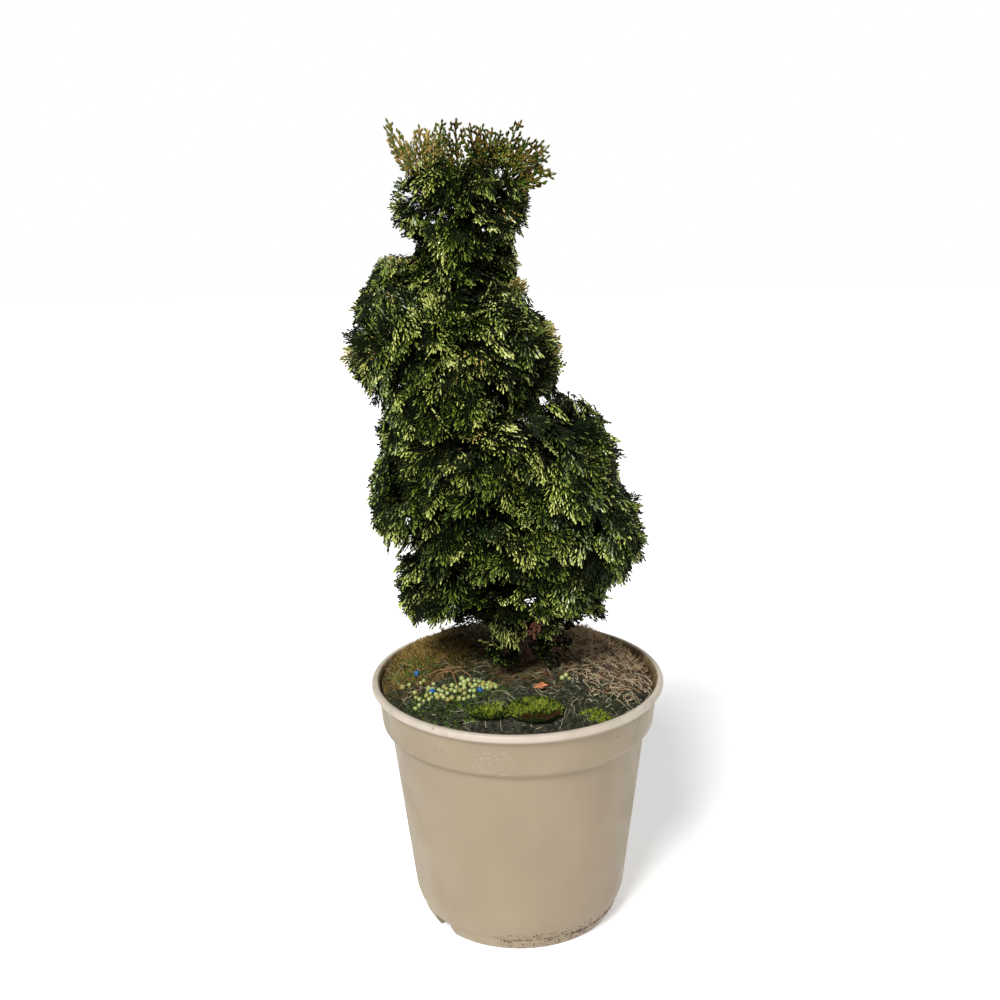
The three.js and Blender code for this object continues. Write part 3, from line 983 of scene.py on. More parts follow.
def spindles(
    base: Array, tip: Array, across: Array, width: Array, thick: Array, belly: float = 0.6
) -> tuple[Array, Faces]:
    """Slim closed bodies with eight faces each: a base, a ring of four corners and a tip.

    Args:
        base: where each starts.
        tip: where it ends.
        across: its broad direction.
        width: its breadth at the ring.
        thick: its thickness there.
        belly: how far along the ring lies.

    Returns:
        Corners and triangles.
    """
    along = unit(tip - base)
    across = unit(across - along * np.sum(across * along, -1, keepdims=True))
    normal = np.cross(along, across)
    middle = mix(base, tip, belly)
    half, lift = width[:, None] / 2, thick[:, None] / 2
    wide, deep = across * half, normal * lift
    corners = np.stack([base, middle + wide, middle + deep, middle - wide, middle - deep, tip], 1)
    pattern = np.array(
        [[0, 2, 1], [0, 3, 2], [0, 4, 3], [0, 1, 4], [5, 1, 2], [5, 2, 3], [5, 3, 4], [5, 4, 1]], np.int32
    )
    faces = pattern[None] + 6 * np.arange(len(base), dtype=np.int32)[:, None, None]
    return corners.reshape(-1, 3), faces.reshape(-1, 3)


@dataclass(frozen=True)
class Drift:
    """Loose stuff strewn in a soft patch of the soil."""

    centre: tuple[float, float]
    radii: tuple[float, float]
    count: int
    tone: int
    length: tuple[float, float]
    width: float
    upright: float


@dataclass
class Litter:
    """Straw, roots, dry moss, green moss and bark crumbs on the soil, short or in long stems."""

    soil: Soil
    tones: tuple[LeafTone, ...] = (
        LeafTone("litter_dark", "232217", 0.9, 0.1),
        LeafTone("litter_tan", "977940", 0.8, 0.2),
        LeafTone("litter_straw", "cbb48e", 0.75, 0.25),
        LeafTone("litter_grey", "77785f", 0.85, 0.2),
        LeafTone("litter_pale", "cfc3a4", 0.75, 0.2),
        LeafTone("moss_green", "5a7a1c", 0.8, 0.2),
        LeafTone("moss_dark", "26360f", 0.85, 0.15),
        LeafTone("litter_red", "7a5438", 0.8, 0.2),
        LeafTone("moss_bright", "8fa028", 0.75, 0.2),
        LeafTone("litter_olive", "575221", 0.85, 0.15),
    )
    drifts: tuple[Drift, ...] = (
        Drift((0, 0), (131, 131), 2400, 0, (3, 12), 1.1, 0.25),
        Drift((0, -20), (125, 105), 1500, 3, (3, 12), 0.7, 0.25),
        Drift((-90, 8), (46, 56), 2000, 1, (2.5, 8), 0.7, 0.8),
        Drift((-88, 12), (48, 56), 1800, 9, (2.5, 8), 0.8, 0.8),
        Drift((-60, 60), (66, 60), 1300, 1, (3, 11), 0.8, 0.5),
        Drift((76, 48), (56, 62), 1700, 2, (3, 12), 0.7, 0.5),
        Drift((40, 92), (80, 44), 1000, 2, (4, 14), 0.75, 0.4),
        Drift((80, 10), (54, 66), 1200, 7, (3, 12), 0.7, 0.4),
        Drift((-20, -20), (60, 50), 900, 9, (3, 10), 0.7, 0.4),
        Drift((10, -30), (45, 36), 700, 7, (3, 10), 0.8, 0.3),
        Drift((-70, -62), (60, 48), 1800, 6, (2.5, 7), 0.9, 0.8),
        Drift((-60, -84), (56, 30), 800, 5, (2.5, 6), 0.8, 0.9),
        Drift((-98, -14), (24, 22), 400, 5, (2.5, 6), 0.8, 0.9),
        Drift((60, -80), (60, 34), 1000, 6, (2.5, 7), 0.9, 0.8),
        Drift((72, -94), (16, 8), 260, 8, (2.5, 5), 0.9, 1.0),
        Drift((0, -10), (125, 115), 160, 4, (4, 12), 0.7, 0.2),
    )
    stems: tuple[Drift, ...] = (
        Drift((0, -5), (122, 118), 150, 4, (8, 24), 0.45, 0.25),
        Drift((86, 10), (46, 84), 260, 2, (7, 22), 0.55, 0.4),
        Drift((84, -24), (44, 60), 120, 4, (4, 13), 0.65, 0.4),
        Drift((70, 0), (60, 84), 150, 7, (7, 20), 0.6, 0.4),
        Drift((40, 90), (80, 44), 160, 2, (7, 20), 0.5, 0.4),
        Drift((-86, 0), (46, 60), 150, 1, (6, 18), 0.5, 0.4),
        Drift((0, -50), (100, 56), 160, 3, (8, 22), 0.5, 0.3),
    )

    def curled(self, drift: Drift, rng: np.random.Generator) -> tuple[Array, Faces]:
        """Long thin stems that wander over the soil: nine places a stem, whose heading drifts.

        A stem lies 0.5 mm over the ground and arches in the middle by up to the drift's upright
        share of 8 mm.

        Args:
            drift: their drift.
            rng: chance for the small differences.

        Returns:
            Corners and quads.
        """
        angle = rng.uniform(0, 2 * np.pi, drift.count)
        share = rng.uniform(0, 1, drift.count) ** 0.6
        way = np.stack([np.cos(angle), np.sin(angle)], -1)
        spot = np.array(drift.centre) + np.array(drift.radii) * share[:, None] * way
        length = rng.uniform(*drift.length, drift.count)
        turn = rng.normal(0, 0.28, (drift.count, 1)) + rng.normal(0, 0.3, (drift.count, 8))
        heading = rng.uniform(0, 2 * np.pi, drift.count)[:, None] + np.cumsum(turn, axis=1)
        steps = np.stack([np.cos(heading), np.sin(heading)], -1) * (length / 8)[:, None, None]
        flat = np.concatenate([spot[:, None], spot[:, None] + np.cumsum(steps, axis=1)], 1)
        out = np.linalg.norm(flat, axis=-1, keepdims=True)
        flat = flat * np.minimum(1, (self.soil.edge_radius - 1) / np.maximum(out, 1e-6))
        clear = np.linalg.norm(flat, axis=-1).min(1) > 20
        flat = flat[clear]
        arch = drift.upright * 8 * rng.uniform(0, 1, len(flat))[:, None] * np.sin(np.linspace(0.2, np.pi, 9))
        high = self.soil.surface(flat[..., 0], flat[..., 1]) + 0.5 + arch
        return twig_tubes(np.concatenate([flat, high[..., None]], -1), 0.5 * drift.width, 0.3 * drift.width)

    def strewn(self, drift: Drift, rng: np.random.Generator) -> tuple[Array, Faces]:
        """One drift: spindles that lie on the soil or stand in it, thinning to the drift's edge.

        Args:
            drift: the drift.
            rng: chance for the small differences.

        Returns:
            Corners and triangles.
        """
        angle = rng.uniform(0, 2 * np.pi, drift.count)
        share = rng.uniform(0, 1, drift.count) ** 0.6
        x = drift.centre[0] + drift.radii[0] * share * np.cos(angle)
        y = drift.centre[1] + drift.radii[1] * share * np.sin(angle)
        kept = np.hypot(x, y) < self.soil.edge_radius - 2
        x, y = x[kept], y[kept]
        count = len(x)
        base = np.stack([x, y, self.soil.surface(x, y) - 0.6], -1)
        heading = rng.uniform(0, 2 * np.pi, count)
        rise = drift.upright * rng.uniform(0.1, 1.0, count) + 0.03
        length = rng.uniform(*drift.length, count)
        way = unit(np.stack([np.cos(heading), np.sin(heading), rise * 1.6], -1))
        tip = base + way * length[:, None]
        out = np.hypot(tip[:, 0], tip[:, 1])
        pull = np.minimum(1, (self.soil.edge_radius - 0.5) / out)
        tip[:, :2] *= pull[:, None]
        floor = self.soil.surface(tip[:, 0], tip[:, 1]) + 0.3
        tip[:, 2] = np.maximum(tip[:, 2], floor)
        across = np.stack([-np.sin(heading), np.cos(heading), rng.uniform(-0.6, 0.6, count)], -1)
        width = drift.width * rng.uniform(0.7, 1.4, count)
        return spindles(base, tip, across, width, 0.6 * width, 0.45)

    def build(self) -> list[bpy.types.Object]:
        """The short litter as one piece and the long stems as another.

        Returns:
            The two pieces.
        """
        rng = np.random.default_rng(SEED + 71)
        materials = [tone.build() for tone in self.tones]
        short, long = Parts(), Parts()
        for drift in self.drifts:
            corners, faces = self.strewn(drift, rng)
            short.add(corners, [faces], drift.tone)
        for drift in self.stems:
            corners, faces = self.curled(drift, rng)
            long.add(corners, [faces], drift.tone)
        return [
            short.piece("litter", materials, smooth=False),
            long.piece("litter_stems", materials, smooth=False),
        ]


@dataclass(frozen=True)
class Cushion:
    """A cushion of moss."""

    node: str
    centre: tuple[float, float]
    radii: tuple[float, float]
    height: float
    blades: int


@dataclass
class Moss:
    """Cushions of bright moss: an earthy dome set with short spikes."""

    soil: Soil
    cushions: tuple[Cushion, ...] = (
        Cushion("moss_cushion", (14, -98), (25, 18), 12, 3200),
        Cushion("moss_patch", (-26, -100), (19, 12), 5, 1300),
    )
    tones: tuple[LeafTone, ...] = (
        LeafTone("cushion_bright", "a0a83c", 0.75, 0.2),
        LeafTone("cushion_green", "55681a", 0.75, 0.2),
        LeafTone("cushion_dark", "1f2a0a", 0.85, 0.15),
        LeafTone("cushion_brown", "542c17", 0.85, 0.15),
    )

    def dome(self, cushion: Cushion) -> tuple[Array, list[Faces]]:
        """The dome under the spikes: half an ellipsoid, lumpy, closed below.

        Args:
            cushion: the cushion.

        Returns:
            Corners and faces.
        """
        angle = np.linspace(0, 2 * np.pi, 48, endpoint=False)
        rise = np.linspace(-0.35, np.pi / 2 - 0.03, 16)[:, None]
        flat = np.cos(rise)
        x = cushion.centre[0] + cushion.radii[0] * 0.95 * flat * np.cos(angle)
        y = cushion.centre[1] + cushion.radii[1] * 0.95 * flat * np.sin(angle)
        ground = self.soil.height(np.array(cushion.centre[0]), np.array(cushion.centre[1]))
        z = ground + (cushion.height - 2.5) * np.sin(rise) + 0 * angle
        bottom = self.soil.height(x, y) - 2
        spots = np.stack([x, y, np.maximum(z, bottom)], -1)
        spots[..., 2] += 0.8 * ripple(spots, 5, 7)
        return lofted(spots)

    def spikes(self, cushion: Cushion, rng: np.random.Generator) -> tuple[Array, Faces, NDArray[np.int32]]:
        """Short spikes that stand out of the dome, and their tones by height and chance.

        Args:
            cushion: the cushion.
            rng: chance for the small differences.

        Returns:
            Corners and triangles, and the tone of each triangle.
        """
        count = cushion.blades
        angle = rng.uniform(0, 2 * np.pi, count)
        out = np.sqrt(rng.uniform(0, 1, count))
        up = np.sqrt(np.clip(1 - out**2, 0, 1))
        x = cushion.centre[0] + cushion.radii[0] * 0.93 * out * np.cos(angle)
        y = cushion.centre[1] + cushion.radii[1] * 0.93 * out * np.sin(angle)
        ground = self.soil.height(np.array(cushion.centre[0]), np.array(cushion.centre[1]))
        z = np.maximum(ground + (cushion.height - 2.5) * up, self.soil.surface(x, y))
        base = np.stack([x, y, z - 0.8], -1)
        way = np.stack([out * np.cos(angle), out * np.sin(angle), 0.35 + up], -1)
        way = unit(unit(way) + rng.normal(0, 0.28, (count, 3)))
        tip = base + way * rng.uniform(2.4, 5.0, count)[:, None]
        tip[:, 2] = np.maximum(tip[:, 2], self.soil.surface(tip[:, 0], tip[:, 1]) + 0.2)
        across = rng.normal(0, 1, (count, 3))
        corners, faces = spindles(base, tip, across, np.full(count, 1.1), np.full(count, 0.7), 0.5)
        patch = 0.7 * ripple(base, 5, 11) + rng.normal(0, 0.4, count)
        tones = np.where(patch > 0.42, 0, np.where(patch > -0.1, 1, 2))
        low = (way[:, 1] < -0.3) & (out > 0.9) & (np.abs(x - cushion.centre[0] - 5) < 0.62 * cushion.radii[0])
        tones = np.where(low & (cushion.height > 8), 3, tones)
        return corners, faces, np.repeat(tones, 8).astype(np.int32)

    def build(self) -> bpy.types.Object:
        """Both cushions as one piece.

        Returns:
            The piece.
        """
        rng = np.random.default_rng(SEED + 72)
        parts = Parts()
        for cushion in self.cushions:
            corners, faces = self.dome(cushion)
            parts.add(corners, faces, 2)
            corners, triangles, tones = self.spikes(cushion, rng)
            for tone in range(len(self.tones)):
                mine = triangles[tones == tone]
                if len(mine):
                    used, inverse = np.unique(mine, return_inverse=True)
                    parts.add(corners[used], [inverse.reshape(-1, 3).astype(np.int32)], tone)
        return parts.piece("moss_cushions", [tone.build() for tone in self.tones], smooth=False)


@dataclass
class Oddments:
    """Berries, a dry stalk, a fallen leaf and a dead sprig on the soil."""

    soil: Soil
    berry_size: float = 4.6
    green_drifts: tuple[tuple[tuple[float, float], tuple[float, float], int], ...] = (
        ((-74, -68), (22, 8), 22),
        ((-54, -68), (15, 9), 20),
        ((-36, -60), (16, 6), 16),
        ((-90, -50), (12, 14), 8),
        ((46, -50), (8, 3), 3),
        ((-107, -38), (3, 3), 1),
    )
    blue_places: tuple[tuple[float, float], ...] = ((-95, -26), (-79, -61), (-35, -70))

    def ball(self, centre: Array, radius: float) -> tuple[Array, list[Faces]]:
        """A small ball of ten meridians and eight rings.

        Args:
            centre: its middle.
            radius: its radius.

        Returns:
            Corners and faces.
        """
        angle = np.linspace(0, 2 * np.pi, 10, endpoint=False)
        rise = np.linspace(-np.pi / 2 + 0.25, np.pi / 2 - 0.25, 8)[:, None]
        flat = np.cos(rise)
        shape = np.stack([flat * np.cos(angle), flat * np.sin(angle), np.sin(rise) + 0 * angle], -1)
        return lofted(centre + radius * shape)

    def berries(self) -> bpy.types.Object:
        """Green berries in loose drifts, pushed apart where they would overlap, and three blue ones.

        Returns:
            The piece.
        """
        rng = np.random.default_rng(SEED + 73)
        placed: list[Array] = []
        parts = Parts()
        for centre, radii, count in self.green_drifts:
            for _ in range(count):
                for _ in range(30):
                    spot = np.array(centre) + rng.uniform(-1, 1, 2) * np.array(radii)
                    if all(np.hypot(*(spot - other)) > 0.86 * self.berry_size for other in placed):
                        break
                placed.append(spot)
                radius = self.berry_size / 2 * rng.uniform(0.8, 1.15)
                z = float(self.soil.surface(spot[:1], spot[1:])[0]) + 0.75 * radius
                corners, faces = self.ball(np.array([spot[0], spot[1], z]), radius)
                parts.add(corners, faces, 0 if rng.uniform() < 0.75 else 1)
        for place in self.blue_places:
            spot = np.array(place, float)
            z = float(self.soil.surface(spot[:1], spot[1:])[0]) + 2.4
            corners, faces = self.ball(np.array([spot[0], spot[1], z]), self.berry_size * 0.6)
            parts.add(corners, faces, 2)
        skins = [
            Skin("berry_green", "b5bf7c", "8f9a50", 400.0, 0.35).build(),
            Skin("berry_olive", "8d8f48", "a59a58", 400.0, 0.45).build(),
            Skin("berry_blue", "1f6fb8", "16406e", 350.0, 0.35).build(),
        ]
        return parts.piece("berries", skins)

    def rod(self, points: Sequence[Sequence[float]], thick: float, thin: float) -> tuple[Array, list[Faces]]:
        """A thin tapering stalk through a few places, six-sided.

        Args:
            points: the places.
            thick: its radius at the first.
            thin: its radius at the last.

        Returns:
            Corners and faces.
        """
        path = np.array(points, float)
        share = np.linspace(0, 1, len(path))
        fine = np.linspace(0, 1, 3 * len(path))
        path = np.stack([np.interp(fine, share, path[:, axis]) for axis in range(3)], -1)
        return tube(path, mix(thick, thin, fine), 6)

    def stalk(self) -> bpy.types.Object:
        """The forked dry stalk that the berries fell from.

        Returns:
            The piece.
        """
        x, y = -60.0, -52.0
        z = float(self.soil.surface(np.array([x]), np.array([y]))[0])
        parts = Parts()
        arms = (
            [
                *((x - 8, y + 26, z + 3), (x - 4, y + 12, z + 7), (x, y, z + 8)),
                *((x + 3, y - 12, z + 4), (x + 5, y - 20, z + 1)),
            ],
            [(x, y, z + 8), (x + 8, y + 4, z + 9), (x + 15, y, z + 6), (x + 18, y - 7, z + 2)],
            [(x - 2, y + 4, z + 8), (x - 10, y + 2, z + 8), (x - 17, y - 3, z + 5), (x - 20, y - 10, z + 2)],
            [(x - 4, y + 12, z + 7), (x - 14, y + 14, z + 5), (x - 24, y + 10, z + 2)],
            [(x - 6, y + 18, z + 5), (x + 4, y + 22, z + 5), (x + 12, y + 24, z + 3)],
        )
        for arm in arms:
            parts.add(*self.rod(arm, 0.8, 0.4))
        return parts.piece("berry_stalk", [Skin("dry_stalk", "946e48", "6c4a30", 300.0, 0.8).build()])

    def leaf(self) -> bpy.types.Object:
        """A small fallen leaf with five lobes, curled, with a thickness.

        Its edge is r = 1 + 0.34 cos(5a) of half its size, and it cups up by 0.25 r^2.

        Returns:
            The piece.
        """
        x, y, size = 20.0, -70.0, 11.0
        z = float(self.soil.surface(np.array([x]), np.array([y]))[0])
        angle = np.linspace(0, 2 * np.pi, 60, endpoint=False)
        share = np.linspace(1, 0.02, 8)[:, None]
        radius = size / 2 * (1 + 0.34 * np.cos(5 * angle + 0.5)) * share
        curl = 0.25 * size * share**2 * (0.6 + 0.4 * np.cos(angle - 0.8))
        top = np.stack([x + radius * np.cos(angle), y + 0.8 * radius * np.sin(angle), z + 1.8 + curl], -1)
        under = top[::-1] - np.array([0, 0, 0.3])
        corners, faces = lofted(np.concatenate([under, top]))
        skin = Skin("dry_leaf", "c98a5c", "a85f38", 260.0, 0.7)
        return make_piece("fallen_leaf", corners, faces, [skin.build()])

    def sprig(self) -> bpy.types.Object:
        """A dead red-brown sprig that hangs by the trunk: forked spindles.

        Returns:
            The piece.
        """
        rng = np.random.default_rng(SEED + 74)
        parts = Parts()
        top = np.array([18.0, -58.0, 325.0])
        for k in range(9):
            start = top + np.array([1.2 * math.sin(2.1 * k) - 0.5 * k, -0.3 * k, -1.7 * k])
            way = unit(np.array([[(-1) ** k * 0.8, -0.25, -0.8]]) + rng.normal(0, 0.25, (1, 3)))[0]
            end = start + way * 6
            corners, faces = spindles(
                np.array([start, start, mix(start, end, 0.5)]),
                np.array([start - [0, 0.5, 3], end, end + np.array([-0.6, -1, -3.0])]),
                np.tile([1.0, 0.2, 0.3], (3, 1)),
                np.full(3, 2.4),
                np.full(3, 1.4),
            )
            parts.add(corners, [faces])
        skin = Skin("dead_sprig_brown", "8c553a", "643a26", 260.0, 0.8)
        return parts.piece("dead_sprig", [skin.build()], smooth=False)


# ---- Trunk and boughs -------------------------------------------------------------------------


def tube(
    path: Array, radii: Array, sides: int, relief: Callable[[Array], Array] | None = None
) -> tuple[Array, list[Faces]]:
    """A closed tube of rings square to a path.

    Args:
        path: middles of the rings.
        radii: their radii.
        sides: corners to a ring.
        relief: height of the skin over the round tube, worked out from the round tube's corners.

    Returns:
        Corners and faces.
    """
    along = unit(np.gradient(path, axis=0))
    hint = np.array([1.0, 0, 0]) if abs(along[0, 0]) < 0.9 else np.array([0, 1.0, 0])
    side = unit(hint - along * (along @ hint)[:, None])
    other = np.cross(along, side)
    angle = np.linspace(0, 2 * np.pi, sides, endpoint=False)[None, :, None]
    way = side[:, None] * np.cos(angle) + other[:, None] * np.sin(angle)
    rings = path[:, None] + way * radii[:, None, None]
    if relief is not None:
        rings = rings + way * relief(rings)[..., None]
    return lofted(rings)


def twig_tubes(path: Array, thick: float, thin: float) -> tuple[Array, Faces]:
    """Four-sided tapering tubes along many short paths, closed at both ends.

    Args:
        path: middles of the rings, by tube and place along it.
        thick: the radius at the start.
        thin: the radius at the end.

    Returns:
        Corners and quads.
    """
    count, rows = path.shape[:2]
    chord = unit(path[:, -1] - path[:, 0])
    hint = np.where(np.abs(chord[:, 2:3]) < 0.9, np.array([0.0, 0, 1]), np.array([1.0, 0, 0]))
    side = unit(np.cross(chord, hint))[:, None, None]
    other = unit(np.cross(chord, side[:, 0, 0]))[:, None, None]
    radius = mix(thick, thin, np.linspace(0, 1, rows))[None, :, None, None]
    angle = np.linspace(0, 2 * np.pi, 4, endpoint=False)[None, None, :, None]
    rings = path[:, :, None] + radius * (side * np.cos(angle) + other * np.sin(angle))
    quads = grid_faces(rows, 4)
    ends = np.array([[3, 2, 1, 0], [4 * rows - 4, 4 * rows - 3, 4 * rows - 2, 4 * rows - 1]], np.int32)
    pattern = np.concatenate([quads, ends])
    faces = pattern[None] + 4 * rows * np.arange(count, dtype=np.int32)[:, None, None]
    return rings.reshape(-1, 3), faces.reshape(-1, 4)


def bark_relief(spots: Array) -> Array:
    """Strands that run up the limb, 2.4 mm apart and 0.55 mm high, over broad flakes."""
    strands = ripple(spots, (2.4, 2.4, 26), 21)
    flakes = ripple(spots, (5, 5, 12), 22)
    return 0.55 * strands + 0.5 * np.maximum(flakes, 0)


@dataclass
class Trunk:
    """The trunk: it stands straight, leans to the left and straightens again."""

    foot: float = 260.3
    top: float = 700.0
    foot_x: float = -2.0
    lean: float = -44.0
    straight_from: float = 650.0
    sway: float = 3.0
    base_radius: float = 11.0
    tip_radius: float = 2.6
    flare: float = 5.5
    flare_height: float = 13.0

    def at(self, height: Array | float) -> Array:
        """The trunk's middle: x leans by a smooth step, y sways by a sine.

        Args:
            height: heights over the floor.

        Returns:
            Places on the middle line.
        """
        high = np.asarray(height, float)
        share = (high - self.foot) / (self.top - self.foot)
        x = self.foot_x + self.lean * smooth_share(high, self.foot, self.straight_from)
        return np.stack([x, self.sway * np.sin(2 * np.pi * share), high], -1)

    def radius(self, height: Array | float) -> Array:
        """Base to tip radius by share^0.8, with a flare that dies away above the soil.

        Args:
            height: heights over the floor.

        Returns:
            Radii.
        """
        above = np.maximum(0, np.asarray(height, float) - self.foot)
        share = np.minimum(1, above / (self.top - self.foot))
        taper = mix(self.base_radius, self.tip_radius, share**0.8)
        return taper + self.flare * np.exp(-above / self.flare_height)

    def build(self, bark: bpy.types.Material) -> bpy.types.Object:
        """The trunk with its buttressed foot and stringy bark.

        Args:
            bark: its material.

        Returns:
            The piece.
        """
        steps = [np.linspace(0, 40, 40)[:-1], np.linspace(40, self.top - self.foot, 190)]
        heights = np.concatenate(steps) + self.foot
        middles, radii = self.at(heights), self.radius(heights)
        angle = np.linspace(0, 2 * np.pi, 56, endpoint=False)
        buttress = 1 + 0.16 * np.exp(-(heights - self.foot) / 10)[:, None] * np.cos(3 * angle + 0.6)
        reach = radii[:, None] * buttress
        rings = middles[:, None] + np.stack([reach * np.cos(angle), reach * np.sin(angle), 0 * reach], -1)
        way = np.stack([np.cos(angle), np.sin(angle), 0 * angle], -1)
        fade = smooth_share(radii, 2, 8)[:, None, None] * 0.8 + 0.2
        rings = rings + way * bark_relief(rings)[..., None] * fade
        corners, faces = lofted(rings)
        return make_piece("trunk_bark", corners, faces, [bark])


# ---- Foliage ----------------------------------------------------------------------------------


class Kind(Enum):
    """How a mass of foliage sits: a lobe on its bough, or close round the trunk."""

    LOBE = "lobe"
    CLOSE = "close"


class Tone(Enum):
    """Slots of the foliage's plain colours."""

    DEEP = 0
    DARK = 1
    GREEN = 2
    FRESH = 3
    LIME = 4
    GOLD = 5
    BRONZE = 6
    TEAL = 7
    SILVER = 8
    TAN = 9


FOLIAGE_TONES = (
    LeafTone("foliage_deep", "080c02", 0.7, 0.05),
    LeafTone("foliage_dark", "111a05", 0.6, 0.1),
    LeafTone("foliage_green", "445814", 0.36, 0.45),
    LeafTone("foliage_fresh", "7c8e2e", 0.32, 0.6),
    LeafTone("foliage_lime", "bfc568", 0.32, 0.7),
    LeafTone("foliage_gold", "bda657", 0.4, 0.45),
    LeafTone("foliage_bronze", "6f5a1c", 0.5, 0.3),
    LeafTone("foliage_teal", "294420", 0.42, 0.35),
    LeafTone("foliage_silver", "8f9d68", 0.4, 0.5),
    LeafTone("foliage_tan", "a58a4c", 0.5, 0.3),
)

# Each suit is the tones of a frond's stem, of its fingers' lower parts and of their tips.
# Crown.colour deals suits 0 to 4, and 8 and 9, by how lit a frond would be, as painted light and shade; suit
# 12, deep all over, is painted shade for the fronds inside a mass.
SUITS = (
    (Tone.DEEP, Tone.DARK, Tone.DARK),
    (Tone.DEEP, Tone.DARK, Tone.GREEN),
    (Tone.DARK, Tone.GREEN, Tone.FRESH),
    (Tone.DARK, Tone.FRESH, Tone.LIME),
    (Tone.DARK, Tone.LIME, Tone.LIME),
    (Tone.DARK, Tone.FRESH, Tone.GOLD),
    (Tone.GREEN, Tone.GOLD, Tone.GOLD),
    (Tone.BRONZE, Tone.BRONZE, Tone.GOLD),
    (Tone.DEEP, Tone.TEAL, Tone.GREEN),
    (Tone.DARK, Tone.TEAL, Tone.SILVER),
    (Tone.DARK, Tone.FRESH, Tone.BRONZE),
    (Tone.GREEN, Tone.BRONZE, Tone.TAN),
    (Tone.DEEP, Tone.DEEP, Tone.DEEP),
    (Tone.DARK, Tone.GREEN, Tone.BRONZE),
)


@dataclass
class Mass:
    """One mass of foliage: its place, its reach and the planes that bound its own space."""

    name: str
    kind: Kind
    number: int
    centre: Array
    radii: Array
    outward: Array
    offset: float
    normals: Array = field(default_factory=lambda: np.zeros((0, 3)))
    limits: Array = field(default_factory=lambda: np.zeros(0))
    bough: Array | None = None

    def radius_along(self, way: Array, share: Array | float = 1.0) -> Array:
        """Distance to the limit: (sum |way / radius|^2.7)^(-1/2.7)."""
        parts = np.abs(way / (self.radii * share)) ** 2.7
        return parts.sum(-1) ** (-1 / 2.7)

    def space_along(self, way: Array) -> Array:
        """Distance to the nearest bounding plane."""
        slope = way @ self.normals.T
        far = (self.limits - self.normals @ self.centre)[None] / np.where(slope > 1e-6, slope, np.nan)
        return np.nanmin(np.where(np.isnan(far), np.inf, far), axis=-1)

    def core_along(self, way: Array) -> Array:
        """Distance to the dense inside: 0.78 of the mass, 0.9 upwards, held off the trunk.

        Args:
            way: directions from the middle.

        Returns:
            The distances.
        """
        core = self.radius_along(way, np.array([0.78, 0.78, 0.9]))
        inward = -way @ self.outward
        near = np.where(inward > 1e-6, (self.offset - 30) / np.maximum(inward, 1e-6), np.inf)
        if self.kind is Kind.CLOSE:
            near = np.full_like(near, np.inf)
        return np.minimum(np.minimum(core, self.space_along(way)), near)


@dataclass
class Fronds:
    """Flat branched fronds, as arrays with one row each."""

    root: Array
    axis: Array
    side: Array
    length: Array
    width: Array
    cup: Array
    suit: NDArray[np.int32]

    def take(self, kept: NDArray) -> Fronds:
        """The rows that are kept."""
        return Fronds(*(getattr(self, name)[kept] for name in self.__dataclass_fields__))

    @staticmethod
    def joined(sets: Sequence[Fronds]) -> Fronds:
        """Several sets as one."""
        names = Fronds.__dataclass_fields__
        return Fronds(*(np.concatenate([getattr(one, name) for one in sets]) for name in names))

    @staticmethod
    def of(
        root: Array,
        axis: Array,
        side: Array,
        length: Array,
        width: Array | float = 28.0,
        cup: Array | float = 0.12,
        suit: Array | int = 0,
    ) -> Fronds:
        """Fronds whose width, cup and suit may be one value for all."""
        wide, cupped, suits = (np.broadcast_to(value, len(root)).copy() for value in (width, cup, suit))
        return Fronds(root, axis, side, length, wide, cupped, suits.astype(np.int32))


